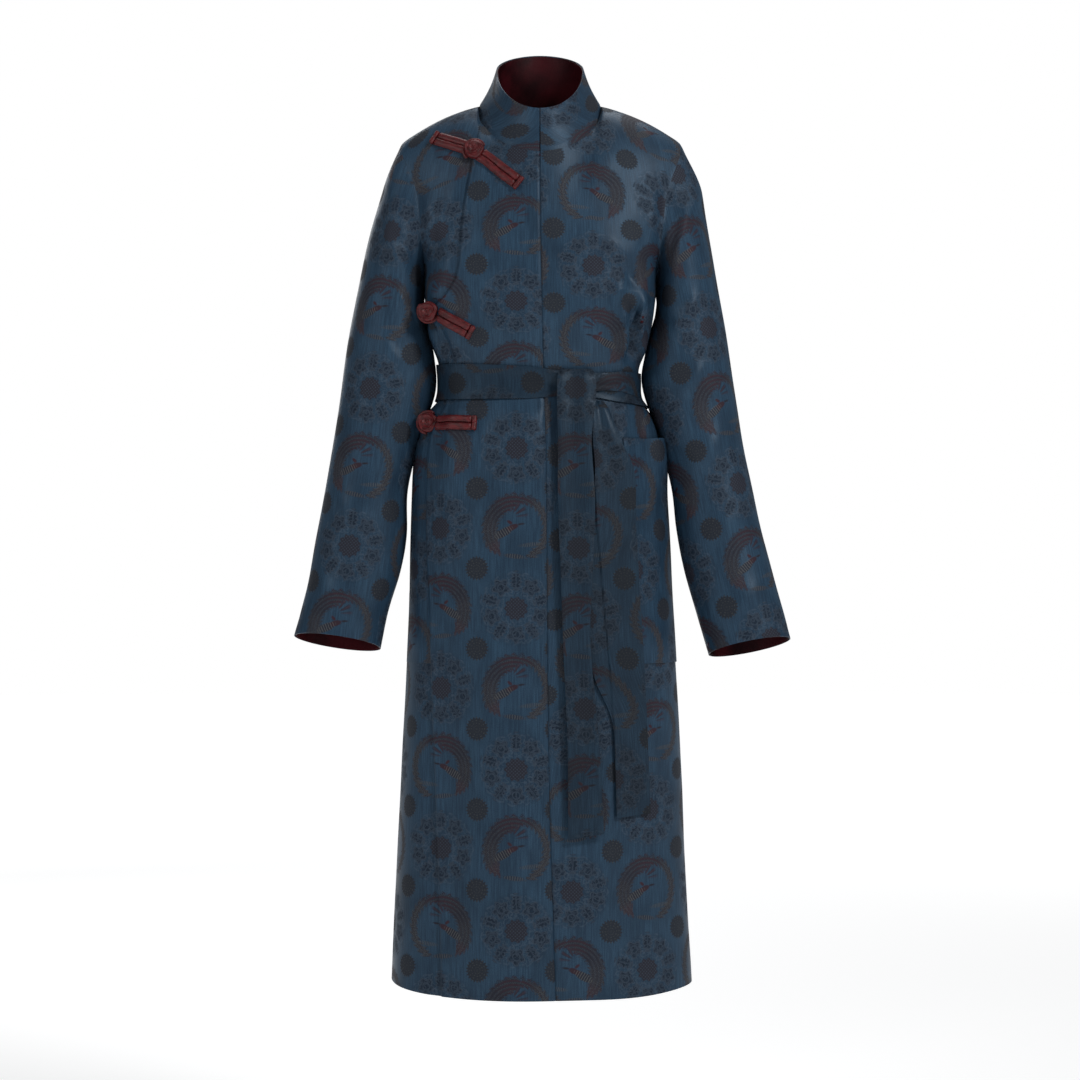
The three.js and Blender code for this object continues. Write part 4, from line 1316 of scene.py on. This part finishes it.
def make_rose(frog, material):
    point, out = front_point(*frog["knot"], frog["proud"])
    facing = unit(mix(out, np.array([0, -1.0, 0]), frog["facing"]))
    right = unit(np.cross(np.array([0, 0, 1.0]), -facing))
    over = unit(np.cross(facing, right))
    turns = np.linspace(0, math.tau, 73)[:-1][None, :]
    shares = np.linspace(0.02, 1, 36)[:, None]
    outline = ROSE_RADIUS * (1 + 0.035 * np.cos(3 * turns + 1) + 0.025 * np.cos(5 * turns + 2))
    radius = outline * shares
    height = 2.6 + rose_height(shares, turns)
    lower_shares = np.array([0.97, 0.9, 0.8])[:, None]
    lower = np.array([1.4, 0.6, 0.2])[:, None] + 0 * turns
    radius = np.concatenate([radius, outline * lower_shares])
    height = np.concatenate([height, lower])
    spread = (np.cos(turns)[..., None] * right + np.sin(turns)[..., None] * over) * radius[..., None]
    rings = point + spread + facing * height[..., None]
    pieces = [rings[:, ::-1]]
    loop_turns = np.radians(frog["loop"] + np.linspace(-105, 105, 40))
    loop_ways = np.cos(loop_turns)[:, None] * right + np.sin(loop_turns)[:, None] * over
    loop = point + loop_ways * (ROSE_RADIUS + 1.1)
    loop = loop - facing * min(frog["proud"], 3.0) * 0.4
    loop_across = unit(loop - point)
    loop_out = np.repeat(facing[None, :], len(loop), axis=0)
    ends = rounded_ends(40)
    pieces.append(tube(loop, loop_across, loop_out, 1.9 * ends, 1.8 * ends, corners=10))
    piece = make_tubes(f"coat_{frog['name']}_rose", pieces, material)
    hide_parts(f"{frog['name']}_button")
    return piece


def make_frogs(material):
    pieces = []
    for frog in FROGS:
        pieces += [make_wing(frog, wing, end, material) for wing, end in frog["wings"].items()]
        pieces.append(make_rose(frog, material))
    return pieces


class Term:
    """A value on a node tree, so a pattern can be written as plain sums."""

    def __init__(self, tree, socket):
        self.tree = tree
        self.socket = socket

    def __add__(self, other):
        return reckon("ADD", self, other)

    def __radd__(self, other):
        return reckon("ADD", self, other)

    def __sub__(self, other):
        return reckon("SUBTRACT", self, other)

    def __rsub__(self, other):
        return reckon("SUBTRACT", other, self)

    def __mul__(self, other):
        return reckon("MULTIPLY", self, other)

    def __rmul__(self, other):
        return reckon("MULTIPLY", self, other)

    def __abs__(self):
        return reckon("ABSOLUTE", self)


def reckon(operation, *terms):
    tree = next(term.tree for term in terms if isinstance(term, Term))
    node = tree.nodes.new("ShaderNodeMath")
    node.operation = operation
    for socket, term in zip(node.inputs, terms):
        if isinstance(term, Term):
            tree.links.new(term.socket, socket)
        else:
            socket.default_value = float(term)
    return Term(tree, node.outputs[0])


def rising(term, start, end):
    """0 before start, 1 after end, smooth between."""
    node = term.tree.nodes.new("ShaderNodeMapRange")
    node.interpolation_type = "SMOOTHSTEP"
    term.tree.links.new(term.socket, node.inputs["Value"])
    node.inputs["From Min"].default_value = start
    node.inputs["From Max"].default_value = end
    return Term(term.tree, node.outputs["Result"])


def falling(term, start, end):
    return 1.0 - rising(term, start, end)


def within(term, start, end, soft):
    return rising(term, start - soft, start + soft) * falling(term, end - soft, end + soft)


def most(*terms):
    total = terms[0]
    for term in terms[1:]:
        total = reckon("MAXIMUM", total, term)
    return total


def wave(term):
    """A wave from 0 to 1, with one turn for each 1 of the term."""
    return reckon("SINE", term * math.tau) * 0.5 + 0.5


def polar(x, y):
    radius = reckon("SQRT", x * x + y * y)
    return radius, reckon("ARCTAN2", y, x)


def blend_colour(tree, share, low, high):
    node = tree.nodes.new("ShaderNodeMix")
    node.data_type = "RGBA"
    tree.links.new(share.socket, node.inputs["Factor"])
    for name, value in (("A", low), ("B", high)):
        socket = next(s for s in node.inputs if s.name == name and s.type == "RGBA")
        if isinstance(value, Term):
            tree.links.new(value.socket, socket)
        else:
            socket.default_value = (*value, 1)
    return Term(tree, next(s for s in node.outputs if s.type == "RGBA"))


def stretched_noise(tree, x, y, per_x, per_y, detail=2.0):
    """Noise with so many waves for each 1 of x and of y."""
    joined = tree.nodes.new("ShaderNodeCombineXYZ")
    tree.links.new((x * per_x).socket, joined.inputs["X"])
    tree.links.new((y * per_y).socket, joined.inputs["Y"])
    noise = tree.nodes.new("ShaderNodeTexNoise")
    noise.inputs["Scale"].default_value = 1.0
    noise.inputs["Detail"].default_value = detail
    tree.links.new(joined.outputs["Vector"], noise.inputs["Vector"])
    return Term(tree, noise.outputs["Fac"])


def srgb(red, green, blue):
    """A colour as it shows on a screen, 0 to 255, as the shader's own linear values."""
    def linear(value):
        share = value / 255
        return share / 12.92 if share <= 0.04045 else ((share + 0.055) / 1.055) ** 2.4
    return (linear(red), linear(green), linear(blue))


# Colours of the brocade's threads
GROUND = srgb(34, 53, 71)
GROUND_LIGHT = srgb(44, 68, 88)
GROUND_DARK = srgb(17, 29, 43)
BROWN = srgb(33, 26, 31)
THREAD_RED = srgb(80, 32, 38)
THREAD_PALE = srgb(106, 106, 100)
LEAF_DARK = srgb(17, 27, 40)
LEAF_PALE = srgb(70, 82, 96)
SPOT = srgb(33, 33, 37)
SPOT_PALE = srgb(78, 77, 73)
LINING_DARK = srgb(20, 6, 9)
LINING_RED = srgb(58, 14, 20)
LINING_LIGHT = srgb(80, 28, 34)
FROG_RED = srgb(84, 19, 23)
FROG_DARK = srgb(48, 9, 13)
FROG_LIGHT = srgb(124, 44, 44)


def oval(x, y, place, lean, slim, size):
    """A soft oval's share and its long axis, from its place, its lean in degrees, how slim it is and its size."""
    cosine = math.cos(math.radians(lean))
    sine = math.sin(math.radians(lean))
    along = (x - place[0]) * cosine + (y - place[1]) * sine
    aside = (y - place[1]) * cosine - (x - place[0]) * sine
    reach = reckon("SQRT", along * along * slim + aside * aside)
    return falling(reach, size - 0.7, size + 0.7), along


def phoenix(x, y, grain):
    """A bird curled into a ring: its share of brown, of pale thread and of red thread."""
    radius, angle = polar(x, y)
    share = reckon("FRACT", angle * (-1 / math.tau) + 1.75)
    middle = 34.0 - 5.0 * within(share, 0.14, 0.52, 0.10)
    wing = within(share, 0.11, 0.53, 0.07) * 10.5
    tail = within(share, 0.48, 0.94, 0.05) * 6.2
    width = most(wing, tail)
    barbs = wave(share * 31.0 + radius * 0.15 + grain * 1.6)
    edge = abs(radius - middle) - width + barbs * (1.2 + grain * 4.4)
    band = falling(edge, -1.1, 0.9) * rising(width, 0.8, 2.2)
    strands = wave(radius * 0.22 + share * 3.4)
    quills = wave(share * 88.0 - radius * 0.42)
    feathered = band * (0.84 + 0.16 * rising(strands, 0.12, 0.4)) * (0.84 + 0.16 * quills)
    speckle = rising(grain, 0.42, 0.62)
    pale = band * most(
        within(strands, 0.08, 0.34, 0.1) * quills * rising(grain, 0.36, 0.6),
        within(share, 0.60, 0.95, 0.04) * speckle * 0.6,
        within(share, 0.10, 0.30, 0.05) * speckle * quills * 0.7,
    )
    crest_reach = radius - 41.0 + wave(share * 26.0) * 4.0
    crest = falling(crest_reach, -0.8, 0.8) * rising(radius, 34.0, 37.0)
    crest = crest * within(share, 0.38, 0.62, 0.04) * rising(quills, 0.2, 0.6)
    fan_radius, fan_angle = polar(x + 6.0, y - 12.0)
    rays = wave(fan_angle * 2.2)
    fan = within(fan_radius, 7.0, 19.0, 2.5) * within(fan_angle, 0.1, 1.5, 0.2) * rising(rays, 0.2, 0.6)
    head = oval(x, y, (-4.0, 1.0), 22, 0.2, 3.0)[0]
    beak = oval(x, y, (5.5, 4.6), 8, 0.08, 1.1)[0]
    comb = oval(x, y, (-7.0, 6.5), -40, 0.3, 1.6)[0]
    neck, neck_along = oval(x, y, (-14.0, -5.0), 30, 0.14, 4.4)
    plume, plume_along = oval(x, y, (18.0, -18.0), 6, 0.03, 2.4)
    tuft, tuft_along = oval(x, y, (-2.0, -31.0), -6, 0.05, 2.6)
    brown = most(feathered, crest * 0.8, fan * 0.75, head, beak, comb, neck * 0.85, plume * 0.35, tuft * 0.6)
    red = most(
        band * within(share, 0.40, 0.58, 0.05) * rising(strands, 0.45, 0.8) * 0.7,
        band * within(share, 0.06, 0.16, 0.03) * 0.5,
        head * 0.7,
        comb,
        fan * rising(rays, 0.75, 0.95) * 0.8,
    )
    light = most(
        pale,
        plume * rising(wave(plume_along * 0.5), 0.35, 0.7) * 0.5,
        neck * rising(wave(neck_along * 0.36), 0.6, 0.85) * 0.7,
        tuft * rising(wave(tuft_along * 0.36), 0.5, 0.8) * 0.5,
    )
    return brown, light, red


def fifths(radius, angle, half, reach):
    """A place in the nearest of five equal parts of a medallion, measured from a point on that part's middle."""
    part = angle * (5 / math.tau) + half
    turn = (part - reckon("ROUND", part)) * (math.tau / 5)
    return radius * reckon("COSINE", turn) - reach, radius * reckon("SINE", turn)


def medallion(x, y, mottle):
    """A round of leaves and five blossoms: its share of dark, of pale line, of brown and of mesh."""
    radius, angle = polar(x, y)
    petal_radius, petal_angle = polar(*fifths(radius, angle, 0.25, 28.5))
    petal_edge = petal_radius - reckon("COSINE", petal_angle * 5.0) * 1.6
    blossom = falling(petal_edge, 8.4, 9.8)
    blossom_line = within(petal_edge, 7.4, 8.8, 0.6)
    blossom_ring = within(petal_radius, 3.4, 4.6, 0.6)
    petals = wave(petal_angle * (5 / math.tau)) * within(petal_radius, 4.4, 7.6, 0.8)
    leaf_x, leaf_y = fifths(radius, angle, 0.75, 30.0)
    leaf_reach = reckon("SQRT", leaf_x * leaf_x * 0.3 + leaf_y * leaf_y) + wave(leaf_x * 0.24) * 2.0
    leaf = falling(leaf_reach, 6.2, 7.6)
    leaf_line = within(leaf_reach, 5.2, 6.6, 0.5)
    vein = falling(abs(leaf_y), 0.4, 1.1) * leaf
    curl_radius, curl_angle = polar(*fifths(radius, angle, 0.5, 19.5))
    curl = falling(abs(curl_radius - 2.6 - curl_angle * 0.5), 0.4, 1.2) * falling(curl_radius, 5.0, 6.0)
    leafy = within(mottle, 0.47, 0.55, 0.012) * within(radius, 13.5, 38.5, 2.0)
    rim_gap = abs(radius - 39.0 - reckon("COSINE", angle * 15.0) * 1.2)
    rim = falling(rim_gap, 0.4, 1.4) * rising(mottle, 0.4, 0.55)
    heart_edge = radius + reckon("COSINE", angle * 11.0) * 1.0
    heart = falling(heart_edge, 11.5, 13.0)
    mesh = heart * wave((x + y) * 0.26) * wave((x - y) * 0.26)
    under = falling(radius + mottle * 8.0, 42.0, 47.0)
    dark = most(blossom, leaf, under * 0.25)
    pale = most(blossom_line, blossom_ring, petals * 0.5, leaf_line, vein * 0.7, curl, leafy * 0.8, rim * 0.7)
    return dark, pale * (1.0 - heart) * (0.35 + mottle), heart, mesh


def spot(x, y):
    """A small round with a toothed edge: its share, and the pale dots on it."""
    radius, angle = polar(x, y)
    edge = radius + reckon("COSINE", angle * 22.0) * 1.2
    fill = falling(edge, 13.4, 15.4)
    rings = wave(radius * 0.3)
    dots = wave(angle * (12 / math.tau) + rings * 0.2)
    return fill, fill * rising(rings * dots, 0.45, 0.75)


MOTIF_SHRINK = 0.87  # the roundels are drawn in a measure that is this much smaller than a millimetre


def new_material(name):
    """A new material, its node tree and its shader."""
    material = bpy.data.materials.new(name)
    material.use_nodes = True
    return material, material.node_tree, material.node_tree.nodes["Principled BSDF"]


def set_relief(tree, shader, height, strength, distance):
    relief = tree.nodes.new("ShaderNodeBump")
    relief.inputs["Strength"].default_value = strength
    relief.inputs["Distance"].default_value = distance
    tree.links.new(height.socket, relief.inputs["Height"])
    tree.links.new(relief.outputs["Normal"], shader.inputs["Normal"])


def brocade_material(name="coat_brocade", shade=1.0):
    """Satin brocade with woven roundels. The shade darkens every thread alike."""
    material, tree, shader = new_material(name)
    uv = tree.nodes.new("ShaderNodeUVMap")
    uv.uv_map = "pattern"
    parts = tree.nodes.new("ShaderNodeSeparateXYZ")
    tree.links.new(uv.outputs["UV"], parts.inputs["Vector"])
    across = Term(tree, parts.outputs["X"])
    up = Term(tree, parts.outputs["Y"])

    def thread(colour):
        return tuple(value * shade for value in colour)

    column = reckon("ROUND", across)
    row = reckon("ROUND", up)
    mottle = stretched_noise(tree, across, up, 19.0, 19.0, 1.0)
    grain = stretched_noise(tree, across, up, 85.0, 85.0, 1.0)
    x = (across - column) * PITCH + (mottle - 0.5) * 2.0
    y = (up - row) * PITCH + (grain - 0.5) * 1.2
    is_medallion = reckon("FLOORED_MODULO", column + row, 2.0)
    is_phoenix = 1.0 - is_medallion
    mirror = 1.0 - reckon("FLOORED_MODULO", column, 2.0) * 2.0
    bird_x = x * mirror * MOTIF_SHRINK
    bird_brown, bird_pale, bird_red = phoenix(bird_x, y * MOTIF_SHRINK, grain)
    round_dark, round_pale, heart, heart_mesh = medallion(x * MOTIF_SHRINK, y * MOTIF_SHRINK, mottle)
    half_x = (reckon("FRACT", across) - 0.5) * PITCH
    half_y = (reckon("FRACT", up) - 0.5) * PITCH
    spot_fill, spot_dots = spot(half_x, half_y)

    warp = stretched_noise(tree, across, up, 78.0, 3.0)
    slub = stretched_noise(tree, across, up, 3.0, 1.4)
    colour = blend_colour(tree, rising(warp, 0.34, 0.70), thread(GROUND), thread(GROUND_LIGHT))
    layers = (
        (rising(slub, 0.35, 0.75) * 0.45, GROUND_DARK),
        (spot_fill * 0.9, SPOT),
        (spot_dots * rising(grain, 0.4, 0.6) * 0.6, SPOT_PALE),
        (is_medallion * round_dark * (0.5 + mottle), LEAF_DARK),
        (is_medallion * heart * 0.88, BROWN),
        (is_medallion * most(round_pale * 0.5, heart_mesh * 0.4), LEAF_PALE),
        (is_phoenix * bird_brown * 0.95, BROWN),
        (is_phoenix * bird_red * 0.3, THREAD_RED),
        (is_phoenix * bird_pale * 0.5, THREAD_PALE),
        (rising(grain, 0.42, 0.72) * 0.38, GROUND_DARK),
    )
    for share, layer in layers:
        colour = blend_colour(tree, share, colour, thread(layer))
    tree.links.new(colour.socket, shader.inputs["Base Color"])

    woven = most(spot_fill, is_medallion * most(round_dark, heart), is_phoenix * bird_brown)
    roughness = 0.40 + woven * 0.20 + warp * 0.08
    tree.links.new(roughness.socket, shader.inputs["Roughness"])
    set_relief(tree, shader, woven * 0.6 + warp * 0.3 + grain * 0.4, 0.45, 0.0007)
    shader.inputs["Specular IOR Level"].default_value = 0.22
    shader.inputs["Specular Tint"].default_value = (0.72, 0.86, 1.0, 1)
    return material


def satin(name, deep, middle, light, gloss, blotches):
    """Plain satin, uneven in colour, with fine threads and soft creases."""
    material, tree, shader = new_material(name)
    place = tree.nodes.new("ShaderNodeTexCoord")
    parts = tree.nodes.new("ShaderNodeSeparateXYZ")
    tree.links.new(place.outputs["Object"], parts.inputs["Vector"])
    x, y, z = (Term(tree, parts.outputs[axis]) for axis in "XYZ")
    uneven = stretched_noise(tree, x + y, z, blotches, blotches)
    threads = stretched_noise(tree, x + z, z - x, 2600.0, 500.0)
    colour = blend_colour(tree, rising(uneven, 0.3, 0.7), deep, middle)
    colour = blend_colour(tree, rising(threads, 0.45, 0.8) * 0.5, colour, light)
    tree.links.new(colour.socket, shader.inputs["Base Color"])
    tree.links.new((0.36 + uneven * 0.14).socket, shader.inputs["Roughness"])
    set_relief(tree, shader, uneven * 0.6 + threads * 0.4, 0.5, 0.0008)
    shader.inputs["Specular IOR Level"].default_value = gloss
    return material


SENSOR_MM = 36
PHOTO_PIXELS = 1080
FOCAL_PIXELS = 3064
FLOOR_HEIGHT = -1.42
FLOOR_REACH = 14
FLOOR_CORNERS = 96


def place_camera():
    """The photograph's view: level, from four metres, on the middle of the coat."""
    camera_data = bpy.data.cameras.new("photo_camera")
    camera_data.sensor_fit = "HORIZONTAL"
    camera_data.sensor_width = SENSOR_MM
    camera_data.lens = SENSOR_MM * FOCAL_PIXELS / PHOTO_PIXELS
    camera = in_scene("photo_camera", camera_data)
    camera.location = (0, -4.0, -0.522)
    camera.rotation_euler = (math.radians(90), 0, 0)
    bpy.context.scene.camera = camera


def area_light(name, place, aim, size, power):
    data = bpy.data.lights.new(name, "AREA")
    data.shape = "DISK"
    data.size = size
    data.energy = power
    light = in_scene(name, data)
    light.location = place
    light.rotation_euler = (Vector(aim) - Vector(place)).to_track_quat("-Z", "Y").to_euler()


def place_floor():
    """A round white floor that glows more the further out it is, so no horizon shows."""
    mesh = bpy.data.meshes.new("studio_floor")
    turns = [i * math.tau / FLOOR_CORNERS for i in range(FLOOR_CORNERS)]
    ring = [(FLOOR_REACH * math.cos(turn), FLOOR_REACH * math.sin(turn), FLOOR_HEIGHT) for turn in turns]
    mesh.from_pydata(ring, [], [list(range(FLOOR_CORNERS))])
    pale, tree, shader = new_material("studio_pale")
    shader.inputs["Base Color"].default_value = (0.93, 0.93, 0.93, 1)
    shader.inputs["Roughness"].default_value = 0.9
    place = tree.nodes.new("ShaderNodeTexCoord")
    reach = tree.nodes.new("ShaderNodeVectorMath")
    reach.operation = "LENGTH"
    tree.links.new(place.outputs["Object"], reach.inputs[0])
    glow = rising(Term(tree, reach.outputs["Value"]), 1.6, 6.0) * 0.5 + 0.38
    tree.links.new(glow.socket, shader.inputs["Emission Strength"])
    shader.inputs["Emission Color"].default_value = (1, 1, 1, 1)
    mesh.materials.append(pale)
    in_scene("studio_floor", mesh)


def place_stage():
    """The floor, a world that is white to the camera and dim to the coat, and the lights."""
    place_floor()
    world = bpy.data.worlds.new("studio_world")
    world.use_nodes = True
    tree = world.node_tree
    soft = tree.nodes["Background"]
    soft.inputs["Color"].default_value = (0.94, 0.97, 1, 1)
    soft.inputs["Strength"].default_value = 0.15
    seen = tree.nodes.new("ShaderNodeBackground")
    seen.inputs["Color"].default_value = (1, 1, 1, 1)
    seen.inputs["Strength"].default_value = 1.0
    path = tree.nodes.new("ShaderNodeLightPath")
    choice = tree.nodes.new("ShaderNodeMixShader")
    tree.links.new(path.outputs["Is Camera Ray"], choice.inputs["Fac"])
    tree.links.new(soft.outputs["Background"], choice.inputs[1])
    tree.links.new(seen.outputs["Background"], choice.inputs[2])
    tree.links.new(choice.outputs["Shader"], tree.nodes["World Output"].inputs["Surface"])
    bpy.context.scene.world = world
    bpy.context.scene.view_settings.view_transform = "Standard"
    area_light("key", (2.1, -2.3, 1.6), (0, 0, -0.15), 0.8, 74)
    area_light("fill", (-2.5, -2.3, 1.5), (0, 0, -0.1), 1.4, 32)
    area_light("top", (0.2, 0.9, 1.9), (0, 0.1, -0.3), 1.6, 24)
    area_light("behind", (-1.4, 3.2, 0.9), (0, 0, -0.5), 2.2, 26)


def main():
    place_camera()
    place_stage()
    brocade = brocade_material()
    lining = satin("coat_lining_satin", LINING_DARK, LINING_RED, LINING_LIGHT, 0.1, 22.0)
    both = [brocade, lining]
    shell = make_shell(both)
    overlap = make_overlap(both)
    collar, collar_lining = make_collar(brocade, lining)
    cuffs = [
        make_cuff_lining("coat_cuff_lining_right", "cuff_lining_right", SLEEVE_MINUS_X, -1, lining),
        make_cuff_lining("coat_cuff_lining_left", "cuff_lining_left", SLEEVE_PLUS_X, 1, lining),
    ]
    pockets = make_pockets(both)
    belt = make_belt(brocade_material("coat_belt_brocade", 0.58))
    frogs = make_frogs(satin("coat_frog_satin", FROG_DARK, FROG_RED, FROG_LIGHT, 0.3, 160.0))


main()
